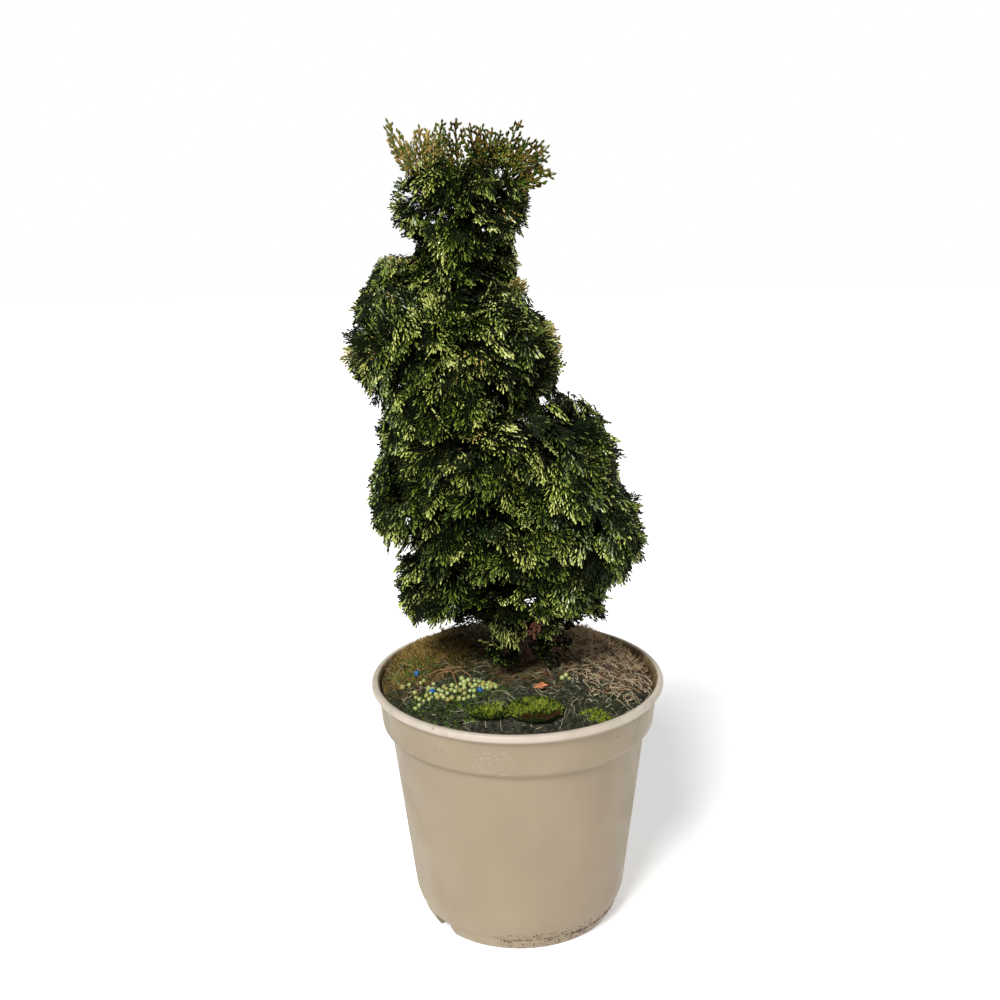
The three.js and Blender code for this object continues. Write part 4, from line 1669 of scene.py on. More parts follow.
@dataclass
class FrondPattern:
    """Where the stems and fingers of a frond lie in its plane, for a frond of length 1.

    Each row of twigs holds a start along and across, an angle from the axis, a length, a
    breadth in millimetres, and 1 for a finger or 0 for a stem.
    """

    rows: Array

    @staticmethod
    def fan(
        seed: int, branches: int = 7, fingers: tuple[int, int] = (5, 4), breadth: float = 1.9
    ) -> FrondPattern:
        """A cupped fan: branches to both sides by turns, set with short blunt fingers.

        The fingers lean a little to both sides of their branch and all point much the same way.

        Args:
            seed: picks the small differences.
            branches: how many branches there are.
            fingers: fingers on the lowest and the highest branch.
            breadth: a finger's breadth in millimetres.

        Returns:
            The pattern.
        """
        rng = np.random.default_rng(seed)
        rows = [(0.0, 0.0, 0.0, 0.9, 0.8 * breadth, 0)]
        for i in range(branches):
            share = i / (branches - 1)
            side = 1 if i % 2 else -1
            start = 0.02 + 0.6 * share + rng.uniform(-0.015, 0.015)
            angle = side * math.radians(mix(50, 17, share) + rng.uniform(-4, 4))
            length = mix(0.66, 0.36, share) * rng.uniform(0.92, 1.06)
            rows.append((start, 0.0, angle, length, 0.8 * breadth, 0))
            count = round(mix(fingers[0], fingers[1], share))
            for j in range(count + 1):
                part = 0.22 + 0.62 * j / count + rng.uniform(-0.02, 0.02)
                lean = (0 if j == count else 1 if j % 2 else -1) * math.radians(rng.uniform(18, 32))
                finger = (0.22 - 0.05 * part) * rng.uniform(0.8, 1.15)
                u = start + part * length * math.cos(angle)
                v = part * length * math.sin(angle)
                rows.append((u, v, 0.8 * angle + lean, finger, breadth * rng.uniform(0.85, 1.15), 1))
        for start, lean in ((0.72, -0.4), (0.78, 0.4), (0.82, 0.0)):
            rows.append((start, 0.0, lean, 0.2, breadth, 1))
        return FrondPattern(np.array(rows, float))

    @staticmethod
    def open_sprig(seed: int, pairs: int = 6, breadth: float = 2.8) -> FrondPattern:
        """A tall open sprig: a stiff axis with forked side twigs well apart, like antlers.

        Args:
            seed: picks the small differences.
            pairs: how many side twigs there are.
            breadth: a twig's breadth in millimetres.

        Returns:
            The pattern.
        """
        rng = np.random.default_rng(seed)
        rows = [(part, 0.0, 0.0, 0.26, breadth, 1) for part in (0.0, 0.16, 0.32, 0.46, 0.6, 0.74)]
        for i in range(pairs):
            share = i / (pairs - 1)
            side = 1 if i % 2 else -1
            start = 0.36 + 0.52 * share + rng.uniform(-0.03, 0.03)
            angle = side * math.radians(rng.uniform(28, 44))
            length = mix(0.36, 0.15, share) * rng.uniform(0.8, 1.2)
            for part in (0.0, 0.3, 0.6):
                u = start + part * length * math.cos(angle)
                v = part * length * math.sin(angle)
                rows.append((u, v, angle, 0.44 * length, breadth, 1))
            for part, lean in ((0.42, 0.55), (0.66, -0.5)):
                u = start + part * length * math.cos(angle)
                v = part * length * math.sin(angle)
                rows.append((u, v, angle + side * lean, rng.uniform(0.1, 0.15), 0.9 * breadth, 1))
        for part, lean in ((0.84, 0.6), (0.9, -0.55)):
            rows.append((part, 0.0, lean, 0.11, 0.85 * breadth, 1))
        return FrondPattern(np.array(rows, float))

    def grow(
        self, fronds: Fronds, rng: np.random.Generator, belly: float = 0.76, bright_back: bool = False
    ) -> tuple[Array, Faces, NDArray[np.int32]]:
        """Every twig of every frond as a keeled finger on the frond's cupped surface.

        A place (u, v) of the plane goes to root + u length axis + v spread side, and sinks by
        cup length (u^2 + (v spread / length)^2) along the frond's normal. A finger has a foot, a
        belly that is flat below with a keel above, and a tip. As painted shade, the lower flank of
        most fingers takes the stem's dark tone, and so does the underside unless bright_back is set.

        Args:
            fronds: the fronds to grow.
            rng: chance for their small differences.
            belly: how far along a finger its tip begins.
            bright_back: whether the underside takes the fingers' tone, not the stem's dark tone of painted
                shade.

        Returns:
            Corners, triangles and the tone of each triangle.
        """
        count, twigs = len(fronds.root), len(self.rows)
        u0, v0, angle, length, breadth, finger = (self.rows[None, :, k] for k in range(6))
        angle = angle + rng.normal(0, 0.05, (count, twigs))
        length = length * rng.uniform(0.88, 1.1, (count, twigs))
        spread = np.sqrt(fronds.length * 38) * fronds.width / 28
        station = np.array([0.0, belly, 1.0])
        u = u0[..., None] + length[..., None] * station * np.cos(angle)[..., None]
        v = v0[..., None] + length[..., None] * station * np.sin(angle)[..., None]
        run = u * fronds.length[:, None, None]
        wide = v * spread[:, None, None]
        normal = np.cross(fronds.side, fronds.axis)
        sink = fronds.cup[:, None, None] * (run**2 + wide**2) / fronds.length[:, None, None]
        curl = rng.normal(0, 0.4, (count, twigs))[..., None] * station
        places = (
            fronds.root[:, None, None]
            + run[..., None] * fronds.axis[:, None, None]
            + wide[..., None] * fronds.side[:, None, None]
            + (curl - sink)[..., None] * normal[:, None, None]
        )
        base, middle, tip = places[:, :, 0], places[:, :, 1], places[:, :, 2]
        along = unit(tip - base)
        across = unit(np.cross(np.broadcast_to(normal[:, None], along.shape), along))
        over = np.cross(along, across)
        half = np.broadcast_to(breadth / 2, (count, twigs))[..., None]
        half = half * np.minimum(1, fronds.length / 30)[:, None, None] ** 0.5
        low, keel = across * half, over * half * 1.2
        corners = np.stack([base, middle + low, middle - low, middle + keel, tip + 0.3 * keel], 2)
        pattern = np.array([[0, 2, 1], [2, 4, 1], [0, 1, 3], [0, 3, 2], [1, 4, 3], [3, 4, 2]], np.int32)
        faces = pattern[None] + 5 * np.arange(count * twigs, dtype=np.int32)[:, None, None]
        suits = np.array([[tone.value for tone in suit] for suit in SUITS])[fronds.suit]
        stem, lower, tips = (suits[:, k][:, None] for k in range(3))
        is_finger = np.broadcast_to(finger > 0, (count, twigs))
        # Fingers further out on a frond take its tip tone more often: the paler tips are the foliage's own
        # colour, and the darker lower tone towards the frond's foot is painted shade where fronds overlap.
        reach = u0 + length * np.cos(angle)
        chance = rng.uniform(0, 1, (count, twigs))
        tip_tone = np.where(is_finger, np.where(chance < 0.15 + 0.7 * reach, tips, lower), stem)
        side_tone = np.where(is_finger, np.where(chance < 0.8 * reach - 0.3, tips, lower), stem)
        # Painted shade: the underside, and the lower flank of four fingers in five, take the stem's dark tone.
        under = np.broadcast_to(lower if bright_back else stem, (count, twigs))
        level = across[..., 2] + rng.normal(0, 0.15, (count, twigs))
        shaded = is_finger & (rng.uniform(0, 1, (count, twigs)) < 0.8)
        first, second = shaded & (level < 0), shaded & (level >= 0)
        flanks = [np.where(dark, stem, tone) for tone in (side_tone, tip_tone) for dark in (first, second)]
        tones = np.stack([under, under, *flanks], 2)
        return corners.reshape(-1, 3), faces.reshape(-1, 3), tones.reshape(-1).astype(np.int32)


@dataclass(frozen=True)
class Tint:
    """A place in the crown whose sprays take other colours."""

    centre: Spot
    radius: float
    suit: int
    share: float


@dataclass(frozen=True)
class Gap:
    """A ragged gap through the crown, open to the sky, from its place in the trunk's plane.

    It runs from front to back and falls by a share of the way, and spreads a little from x -14.
    """

    x: float
    z: float
    fall: float
    radius: float

    def away(self, spots: Array) -> Array:
        """How far places lie from the gap's middle line, in its radii."""
        across = spots[..., 0] - self.x - (self.x + 14) * spots[..., 1] / 1335
        return np.hypot(across, spots[..., 2] + self.fall * spots[..., 1] - self.z) / self.radius


@dataclass
class Crown:
    """The clipped spiral: its lobes, the close masses, and everything that grows in them."""

    trunk: Trunk
    soil: Soil
    sides: tuple[str, ...] = ("left", "front", "right", "back")
    lobe_height: tuple[tuple[float, ...], ...] = (
        (568, 495, 424, 342),
        (574, 488, 408, 332),
        (550, 462, 390, 318),
        (546, 444, 370, 322),
    )
    lobe_reach: tuple[tuple[float, ...], ...] = (
        (108, 92, 118, 108),
        (92, 104, 114, 98),
        (79, 120, 133, 88),
        (88, 106, 116, 94),
    )
    half_height: tuple[float, ...] = (50, 48, 49, 44)
    close: tuple[tuple[str, tuple[float, ...], tuple[float, ...]], ...] = (
        ("head_left", (-68, -6, 692), (33, 38, 44)),
        ("head_right", (-20, -4, 694), (36, 38, 45)),
        ("head_back", (-45, 28, 694), (38, 34, 44)),
        ("head_front", (-43, -30, 688), (38, 32, 44)),
        ("neck_left", (-76, 0, 620), (52, 48, 37)),
        ("neck_right", (-28, 0, 627), (35, 42, 42)),
        ("foot_sprig_left", (-14, -44, 288), (19, 17, 22)),
        ("foot_sprig_right", (34, -34, 284), (19, 18, 17)),
    )
    frond_tips: tuple[Spot, ...] = (
        (-107, 8, 760), (-104, -10, 749), (-79, -20, 755), (-74, 25, 751), (-61, 5, 760),
        (-48, 20, 759), (-37, -5, 756), (-25, 30, 754), (-22, -25, 751), (-10, 10, 750),
        (7, 8, 759), (25, -10, 743), (32, 5, 729), (-46, -34, 744), (4, 34, 740),
        (-98, 24, 738), (-90, -24, 735), (-68, -30, 742), (-4, -26, 742), (14, 2, 744),
        (14, -18, 731), (26, 16, 722), (36, -4, 716), (20, -20, 712), (-16, 4, 752),
        (-58, 30, 744), (-30, 12, 741), (-20, -12, 738), (3, -16, 735), (12, 12, 738),
        (24, 6, 731), (29, -10, 719), (32, 12, 737), (-8, 22, 745),
    )
    hollows: tuple[tuple[float, float, float, float], ...] = (
        (-14, -85, 425, 17), (10, -85, 412, 13), (-40, -80, 446, 14), (-15, -80, 532, 12),
        (27, -75, 531, 10), (10, -60, 350, 12), (-106, 0, 722, 25), (-84, 0, 744, 20),
        (-106, 0, 653, 21), (-96, -30, 656, 16), (-138, 0, 523, 16), (-128, -30, 518, 12),
        (12, 0, 734, 27), (-14, 0, 748, 20),
    )
    gaps: tuple[Gap, ...] = (
        Gap(-84, 688, 0.094, 4.5), Gap(-76, 681, 0.094, 3.8), Gap(-72, 690, 0.094, 3),
        Gap(-66, 684, 0.094, 4.5), Gap(-61, 693, 0.094, 2.7), Gap(-58, 678, 0.094, 3.9),
        Gap(-52, 686, 0.094, 3.3), Gap(-69, 675, 0.094, 3), Gap(-36, 680, 0.094, 3.3),
        Gap(-30, 690, 0.094, 3.6), Gap(-90, 697, 0.094, 3.6), Gap(-80, 700, 0.094, 2.7),
        Gap(-10, 694, 0.094, 3), Gap(-14, 684, 0.094, 3.3), Gap(-4, 703, 0.094, 2.6),
        Gap(4, 712, 0.094, 2.6), Gap(-10, 716, 0.094, 3.6), Gap(-24, 668, 0.11, 3),
        Gap(-101, 400, 0.311, 3.5), Gap(-98, 383, 0.324, 2.5), Gap(12, 318, 0.372, 4.5),
        Gap(19, 322, 0.37, 2.5), Gap(27, 513, 0.226, 4), Gap(-103, 527, 0.216, 3),
        Gap(-120, 655, 0.12, 11), Gap(-105, 656, 0.12, 11), Gap(-93, 652, 0.12, 8),
    )
    apron_rows: Rows = (
        ((-18, -42, 342), (-23, -66, 319)), ((-14, -42, 336), (-16, -68, 309)),
        ((-10, -42, 332), (-8, -69, 302)), ((-8, -40, 330), (-3, -66, 301)),
        ((-6, -42, 336), (4, -64, 311)), ((-20, -38, 338), (-28, -60, 320)),
        ((-8, -48, 346), (-12, -75, 322)), ((-2, -48, 348), (2, -75, 325)),
        ((-14, -48, 352), (-22, -73, 333)), ((-10, -46, 338), (-12, -72, 312)),
        ((8, -44, 352), (14, -71, 335)), ((18, -44, 354), (26, -69, 337)),
        ((0, -44, 356), (6, -74, 342)), ((20, -42, 324), (27, -62, 307)),
        ((22, -40, 322), (32, -58, 303)), ((24, -38, 326), (37, -54, 308)),
    )
    shoulder_rows: Rows = (
        ((-80, -6, 688), (-106, -8, 692)), ((-80, 2, 682), (-105, 4, 683)),
        ((-78, -8, 680), (-103, -14, 676)), ((-76, 0, 676), (-99, 0, 666)),
        ((-80, -12, 686), (-100, -24, 688)), ((-76, 8, 680), (-97, 16, 673)),
        ((-80, 4, 692), (-105, 8, 700)), ((-80, -4, 694), (-101, -6, 709)),
        ((-74, -12, 676), (-92, -26, 668)), ((-74, -20, 684), (-90, -38, 680)),
        ((-74, -20, 620), (-95, -38, 634)), ((-80, -14, 618), (-106, -24, 634)),
        ((-68, -24, 618), (-87, -46, 628)), ((-76, -26, 612), (-98, -46, 620)),
        ((-66, -24, 626), (-84, -46, 640)), ((-84, -6, 620), (-110, -14, 639)),
        ((-84, 2, 618), (-114, -2, 634)), ((-84, 10, 620), (-110, 14, 637)),
        ((-74, -28, 616), (-94, -52, 612)), ((-66, -34, 616), (-78, -60, 618)),
        ((-70, -46, 458), (-92, -72, 452)), ((-74, -44, 452), (-100, -64, 446)),
        ((-64, -50, 456), (-82, -78, 446)), ((-72, -42, 446), (-96, -62, 436)),
        ((-62, -50, 450), (-76, -78, 438)), ((-76, -36, 456), (-104, -50, 456)),
        ((-120, -6, 570), (-149, -10, 553)), ((-118, -12, 566), (-144, -22, 550)),
        ((-116, -2, 562), (-145, 2, 547)),
    )
    edge_rows: Rows = (
        ((14, -14, 568), (37, -20, 580)), ((14, -8, 562), (41, -12, 571)),
        ((14, -20, 572), (32, -34, 588)), ((18, -10, 552), (44, -16, 562)),
        ((20, -14, 548), (45, -22, 550)), ((10, -24, 570), (26, -44, 580)),
        ((-12, -8, 602), (14, -12, 619)), ((-12, -14, 606), (8, -24, 624)),
        ((-14, 0, 600), (13, 4, 612)), ((-20, -8, 624), (5, -12, 641)),
        ((90, -18, 390), (118, -26, 388)), ((90, -12, 396), (116, -16, 397)),
        ((88, -26, 388), (112, -44, 380)), ((92, -8, 384), (120, -10, 378)),
        ((70, -16, 444), (94, -22, 454)), ((60, -16, 464), (83, -22, 476)),
        ((-86, -10, 620), (-112, -14, 645)), ((-84, -4, 616), (-106, -2, 644)),
        ((-128, -8, 552), (-153, -12, 558)), ((-124, -14, 556), (-149, -20, 566)),
    )
    crest_left: Rows = (
        ((-78, -4, 716), (-92, -4, 742)), ((-76, -6, 716), (-84, -10, 748)),
        ((-74, 2, 718), (-76, 6, 751)), ((-70, -4, 718), (-68, -8, 748)),
        ((-66, 2, 718), (-62, 0, 753)), ((-72, 8, 716), (-82, 18, 742)),
        ((-66, -8, 714), (-58, -14, 740)),
    )
    crest_right: Rows = (
        ((-12, -4, 700), (17, -8, 716)), ((-14, -8, 704), (10, -16, 724)),
        ((-10, 2, 698), (18, 6, 708)), ((-20, -6, 712), (-12, -10, 740)),
        ((-28, -6, 712), (-28, -10, 742)), ((-18, 4, 710), (2, 8, 736)),
        ((-12, -2, 706), (14, -2, 731)), ((-12, -12, 692), (12, -22, 700)),
        ((-10, 4, 690), (16, 10, 696)), ((-24, 10, 712), (-18, 18, 742)),
    )
    sprays: dict[Kind, int] = field(default_factory=lambda: {Kind.LOBE: 30, Kind.CLOSE: 18})
    spread: dict[Kind, float] = field(default_factory=lambda: {Kind.LOBE: 110.0, Kind.CLOSE: 150.0})
    turn_step: float = 0.5698402909980532
    rise_step: float = 0.7548776662466927
    gap: float = 0.3
    hem: float = 300.0
    hem_slope: float = 0.38
    low_hem: float = 297.0
    light_steps: tuple[float, ...] = (-0.5, -0.28, 0.0, 0.3)
    head_shade: float = 0.16
    piece_limit: int = 190000
    groove_zones: tuple[tuple[float, float, int, float, float], ...] = (
        (296, 706, 500, 0, 360),
        (600, 644, 60, 130, 250),
        (664, 704, 40, 120, 260),
        (496, 548, 60, 200, 270),
        (330, 470, 100, 280, 350),
        (428, 470, 50, 0, 360),
    )
    masses: list[Mass] = field(default_factory=list)

    def __post_init__(self) -> None:
        """Works out the masses, their own spaces and their boughs."""
        for number in range(16):
            turn, quarter = divmod(number, 4)
            height = self.lobe_height[quarter][turn]
            reach = self.lobe_reach[quarter][turn]
            depth, width = 0.5 * reach, 0.7 * reach
            angle = math.radians(180 + 90 * quarter)
            offset = reach - depth
            centre = self.trunk.at(height) + np.array([offset * math.cos(angle), offset * math.sin(angle), 0])
            across = (width, depth) if quarter % 2 else (depth, width)
            radii = np.array([*across, self.half_height[turn]])
            self.add_mass(f"turn{turn + 1}_{self.sides[quarter]}", Kind.LOBE, centre, radii)
        for name, centre, radii in self.close:
            self.add_mass(name, Kind.CLOSE, np.array(centre, float), np.array(radii, float))
        for mass in self.masses:
            self.bound(mass)
            if mass.kind is Kind.LOBE:
                mass.bough = self.bough_path(mass)

    def add_mass(self, name: str, kind: Kind, centre: Array, radii: Array) -> None:
        """Adds a mass, with its outward direction from the trunk."""
        outward = (centre - self.trunk.at(centre[2])) * np.array([1, 1, 0])
        offset = float(np.linalg.norm(outward))
        self.masses.append(Mass(name, kind, len(self.masses), centre, radii, outward / offset, offset))

    def bound(self, mass: Mass) -> None:
        """The planes midway to each neighbour, by the two radii towards each other.

        Args:
            mass: the mass, whose planes are set.
        """
        others = [other for other in self.masses if other is not mass]
        away = np.array([other.centre for other in others]) - mass.centre
        apart = np.linalg.norm(away, axis=1)
        away = away / apart[:, None]
        here = mass.radius_along(away)
        there = np.array([float(other.radius_along(-way[None])[0]) for other, way in zip(others, away)])
        share = np.clip(0.5 + (here**2 - there**2) / (2 * apart**2), 0.3, 0.7)
        mass.normals = away
        mass.limits = away @ mass.centre + share * apart - self.gap

    def bough_path(self, mass: Mass) -> Array:
        """The bough's middles: a curve (1-t)^2 root + 2t(1-t) bend + t^2 tip.

        Args:
            mass: the mass that it holds.

        Returns:
            Places from the trunk to its tip.
        """
        tip = self.trunk.at(mass.centre[2] - 4) + 27 * mass.outward
        root = self.trunk.at(tip[2] - 21.6)
        bend = mix(root, tip, 0.6) - np.array([0, 0, 3.78])
        t = np.linspace(0, 1, 18)[:, None]
        return (1 - t) ** 2 * root + 2 * t * (1 - t) * bend + t**2 * tip

    def boughs(self, bark: bpy.types.Material) -> bpy.types.Object:
        """All boughs with their bark, as one piece.

        Args:
            bark: their material.

        Returns:
            The piece.
        """
        parts = Parts()
        for mass in self.masses:
            if mass.bough is not None:
                thick = mix(4.6, 3.0, np.clip((mass.centre[2] - 330) / 370, 0, 1))
                radii = mix(thick, 0.6 * thick, np.linspace(0, 1, len(mass.bough)))
                parts.add(*tube(mass.bough, radii, 18, lambda spots: 0.3 * bark_relief(spots)))
        return parts.piece("bough_bark", [bark])

    def spray_ways(self, mass: Mass, numbers: Array, sway: Array, lowest: float = -0.8) -> Array:
        """The directions of sprays by number: even steps in height and turn, swayed a little.

        Args:
            mass: the mass.
            numbers: the sprays' numbers.
            sway: swaying numbers, the first of which turns a spray.
            lowest: the least share of up.

        Returns:
            Directions from the middle.
        """
        up = mix(lowest, 0.97, (0.45 + numbers * self.rise_step) % 1)
        spread = math.radians(self.spread[mass.kind])
        turn = mix(-spread, spread, (0.5 + numbers * self.turn_step) % 1)
        azimuth = math.atan2(mass.outward[1], mass.outward[0]) + turn + 0.3 * sway[:, 0]
        flat = np.sqrt(1 - up * up)
        return np.stack([flat * np.cos(azimuth), flat * np.sin(azimuth), up], -1)

    @staticmethod
    def lie(spots: Array, way: Array) -> Array:
        """How far round from uphill a spray lies, much as its neighbours do.

        Most lie downhill, at pi, and sway by 0.9 of a radian from place to place. In some patches
        near the top of a mass they lie uphill instead, at 0.
        """
        upward = (ripple(spots, 40, 61) > 0.25) & (way[:, 2] > 0.25)
        return np.where(upward, 0, np.pi) + 0.9 * ripple(spots, 46, 62)

    def place_sprays(self, mass: Mass, way: Array, sway: Array, depth: Array, stand: Array) -> Fronds:
        """Sprays that start in the dense inside and reach to a share of the mass's limit.

        Args:
            mass: the mass they belong to.
            way: their directions from its middle.
            sway: four swaying numbers for each.
            depth: the share of the reach at which each ends.
            stand: how far each stands out, against lying along the surface.

        Returns:
            The sprays.
        """
        core = mass.core_along(way)
        full_reach = mass.radius_along(way) * mix(0.95, 1.04, sway[:, 2])
        clump = ripple(mass.centre + way * full_reach[:, None], 24, 51)
        full_reach = full_reach * mix(1.0, 0.84, smooth_share(-clump, -0.1, 0.45))
        reach = np.minimum(full_reach, mass.space_along(way) + 5)
        kept = reach > core + 2
        way, sway, core, reach, depth, stand = (a[kept] for a in (way, sway, core, reach, depth, stand))
        start = np.minimum(core, depth * reach - 12) - 7
        level = unit(np.cross(way, np.array([0.0, 0, 1])))
        uphill = np.cross(level, way)
        turned = (self.lie(mass.centre + way * reach[:, None], way) + 0.5 * sway[:, 1])[:, None]
        along = uphill * np.cos(turned) + level * np.sin(turned)
        axis = unit(way * stand[:, None] + along * (1 - stand)[:, None])
        across = unit(np.cross(axis, way))
        outside = np.cross(across, axis)
        roll = (0.7 * sway[:, 3])[:, None]
        side = across * np.cos(roll) + outside * np.sin(roll)
        length = np.clip((depth * reach - start) / np.sum(axis * way, -1), 22, 40)
        root = mass.centre + way * start[:, None]
        return Fronds.of(root, axis, side, length)

    def main_sprays(self, mass: Mass) -> Fronds:
        """The sprays that the solids show, by the same stream of numbers.

        Args:
            mass: the mass.

        Returns:
            The sprays.
        """
        stream = Stream(SEED + mass.number)
        count = self.sprays[mass.kind]
        sway = np.array([[stream.next() for _ in range(4)] for _ in range(count)])
        sway -= np.array([0.5, 0.5, 0, 0.5])
        numbers = np.arange(count, dtype=float)
        way = self.spray_ways(mass, numbers, sway)
        return self.place_sprays(mass, way, sway, np.ones(count), np.full(count, 0.5))

    @staticmethod
    def tufts(leaders: Fronds, rng: np.random.Generator) -> Fronds:
        """Side fronds that fan out from each leader's foot to both sides, like a hand.

        Args:
            leaders: the fronds they stand beside.
            rng: chance for the small differences.

        Returns:
            The side fronds.
        """
        copies = 2
        repeat = np.repeat(np.arange(len(leaders.root)), copies)
        count = len(repeat)
        base = leaders.take(repeat)
        normal = np.cross(base.side, base.axis)
        turn = (rng.uniform(0.5, 1.0, count) * np.where(np.arange(count) % 2, 1, -1))[:, None]
        tilt = rng.normal(-0.06, 0.14, count)[:, None]
        axis = unit(base.axis * np.cos(turn) + base.side * np.sin(turn) + normal * tilt)
        side = np.cross(axis, normal) * -1 + normal * rng.normal(0, 0.2, count)[:, None]
        side = unit(side - axis * np.sum(axis * side, -1, keepdims=True))
        root = base.root + rng.normal(0, 1.5, (count, 3)) - normal * rng.uniform(0, 3, count)[:, None]
        length = base.length * rng.uniform(0.72, 0.98, count)
        width = base.width * rng.uniform(0.8, 1.0, count)
        return Fronds(root, axis, side, length, width, rng.uniform(0.1, 0.26, count), base.suit)

    def finer_sprays(self, mass: Mass, rng: np.random.Generator) -> Fronds:
        """More sprays by the same rule, numbered on from the main ones, at several depths.

        Args:
            mass: the mass.
            rng: chance for the small differences.

        Returns:
            The sprays.
        """
        count = 50 if mass.kind is Kind.LOBE else 26
        start = self.sprays[mass.kind]
        sway = rng.uniform(0, 1, (count, 4)) - np.array([0.5, 0.5, 0, 0.5])
        way = self.spray_ways(mass, np.arange(start, start + count, dtype=float), sway, -0.95)
        depth = rng.choice([1.0, 0.96, 0.9, 0.8], count, p=[0.4, 0.3, 0.2, 0.1])
        return self.place_sprays(mass, way, sway, depth, rng.uniform(0.3, 0.6, count))

    def shade_fill_sprays(self, mass: Mass, rng: np.random.Generator) -> Fronds:
        """Near-black fronds deep in the mass, on all sides, clear of the trunk: painted shade that fills the
        inside.

        Args:
            mass: the mass.
            rng: chance for the small differences.

        Returns:
            The fronds.
        """
        count = 40 if mass.kind is Kind.LOBE else 12
        way = unit(rng.normal(0, 1, (count, 3)))
        reach = np.minimum(mass.radius_along(way), mass.space_along(way) + 4)
        share = rng.uniform(0.05, 0.32, count)
        root = mass.centre + way * (share * reach)[:, None]
        axis = unit(way + rng.normal(0, 0.5, (count, 3)))
        side = unit(np.cross(axis, rng.normal(0, 1, (count, 3))))
        length = np.clip(0.4 * reach, 14, 30)
        # Painted shade: suit 12 is the deep tone all over, and the foot masses take the dark suit 1.
        suit = 1 if mass.name.startswith("foot") else 12
        return Fronds.of(root, axis, side, length, 30.0, 0.15, suit)

    def held_in(self, mass: Mass, fronds: Fronds, slack: float) -> Fronds:
        """Moves each frond in until its tip is inside the mass's reach, and drops those in the way.

        A frond is dropped where its tip or middle would touch the trunk, a foot of soil or go
        deep into the next mass.

        Args:
            mass: the mass.
            fronds: its fronds.
            slack: how far past its planes they may go.

        Returns:
            The fronds that stay.
        """
        tip = fronds.root + fronds.axis * fronds.length[:, None]
        away = tip - mass.centre
        far = np.linalg.norm(away, axis=1)
        way = away / np.maximum(far, 1e-6)[:, None]
        limit = mass.radius_along(way) * 1.02
        excess = np.maximum(0, far - limit)
        root = fronds.root - way * excess[:, None]
        held = Fronds(root, fronds.axis, fronds.side, fronds.length, fronds.width, fronds.cup, fronds.suit)
        kept = np.ones(len(root), bool)
        for share in (0.0, 0.5, 1.0):
            spot = root + fronds.axis * (share * fronds.length)[:, None]
            middle = self.trunk.at(np.minimum(spot[:, 2], self.trunk.top))
            clear = np.linalg.norm(spot - middle, axis=1) > self.trunk.radius(spot[:, 2]) + 2
            kept &= clear & (spot[:, 2] > self.soil.height(spot[:, 0], spot[:, 1]) + 2)
            if share:
                kept &= np.all(spot @ mass.normals.T <= mass.limits + slack, axis=1)
        return held.take(kept)

    def opened(self, fronds: Fronds, low: bool = False) -> Fronds:
        """Leaves out the fronds that end in a hollow or hang below the crown's hem.

        The hem is 300 mm up and rises by 0.38 for each millimetre in front of the trunk. If low
        is set it lies at 297 mm.

        Args:
            fronds: the fronds.
            low: whether the hem lies low.

        Returns:
            The fronds that stay.
        """
        tip = fronds.root + fronds.axis * fronds.length[:, None]
        hem = self.low_hem if low else self.hem + self.hem_slope * np.maximum(0, -tip[:, 1] - 8)
        kept = tip[:, 2] > hem
        for x, y, z, radius in self.hollows:
            kept &= np.linalg.norm((tip - np.array([x, y, z])) * np.array([1, 0.5, 1]), axis=1) > radius
        return fronds.take(kept)

    def trunk_fronds(self, rng: np.random.Generator) -> Fronds:
        """Fronds that stand close round the trunk all the way up, a golden angle apart.

        Those between the neck and the head start further out.

        Args:
            rng: chance for the small differences.

        Returns:
            The fronds.
        """
        count = 230
        height = np.append(np.linspace(306, 702, count - 60), np.linspace(622, 700, 60))
        height = height + rng.uniform(-3, 3, count)
        turn = np.arange(count) * math.radians(137.5)
        throat = smooth_share(height, 628, 645) * (1 - smooth_share(height, 690, 705))
        out = np.stack([np.cos(turn), np.sin(turn), 0 * turn], -1)
        middle = self.trunk.at(np.minimum(height, self.trunk.top))
        middle[:, 2] = height
        start = self.trunk.radius(height) + mix(6, rng.uniform(2, 14, count), throat)
        root = middle + out * start[:, None]
        rise = np.where(rng.uniform(0, 1, count) < 0.4, -0.5, 0.7) + rng.normal(0, 0.25, count)
        axis = unit(out + np.array([0, 0, 1.0]) * rise[:, None] + rng.normal(0, 0.2, (count, 3)))
        side = unit(np.cross(axis, np.cross(out, np.array([0, 0, 1.0])) + rng.normal(0, 0.5, (count, 3))))
        length = mix(rng.uniform(26, 42, count), rng.uniform(28, 36, count), throat)
        # Painted shade: fronds deep in the crown by the trunk take the darkest suits, 0 and 1; those in the
        # throat take greener ones.
        suit = np.where(throat > 0.5, rng.choice([1, 2, 2, 3, 4], count), rng.choice([0, 1], count))
        return self.opened(Fronds.of(root, axis, side, length, suit=suit))

    def skin(self, spots: Array) -> Array:
        """How far out places lie in the whole crown: 1 on its smooth outer skin.

        Each mass gives d = (sum |offset / radius|^2.7)^(1/2.7), and the crown's value is
        -log(sum exp(-5 d)) / 5, so the skin bridges the grooves between masses.
        """
        return -np.log(np.exp(-5 * self.depths(spots)).sum(-1)) / 5

    def depths(self, spots: Array) -> Array:
        """How far out places lie in each mass: 0 at its middle, 1 at its limit.

        Args:
            spots: the places.

        Returns:
            A row for each place, with a number for each mass.
        """
        centres = np.array([mass.centre for mass in self.masses])
        radii = np.array([mass.radii for mass in self.masses])
        parts = np.abs((spots[..., None, :] - centres) / radii) ** 2.7
        return parts.sum(-1) ** (1 / 2.7)

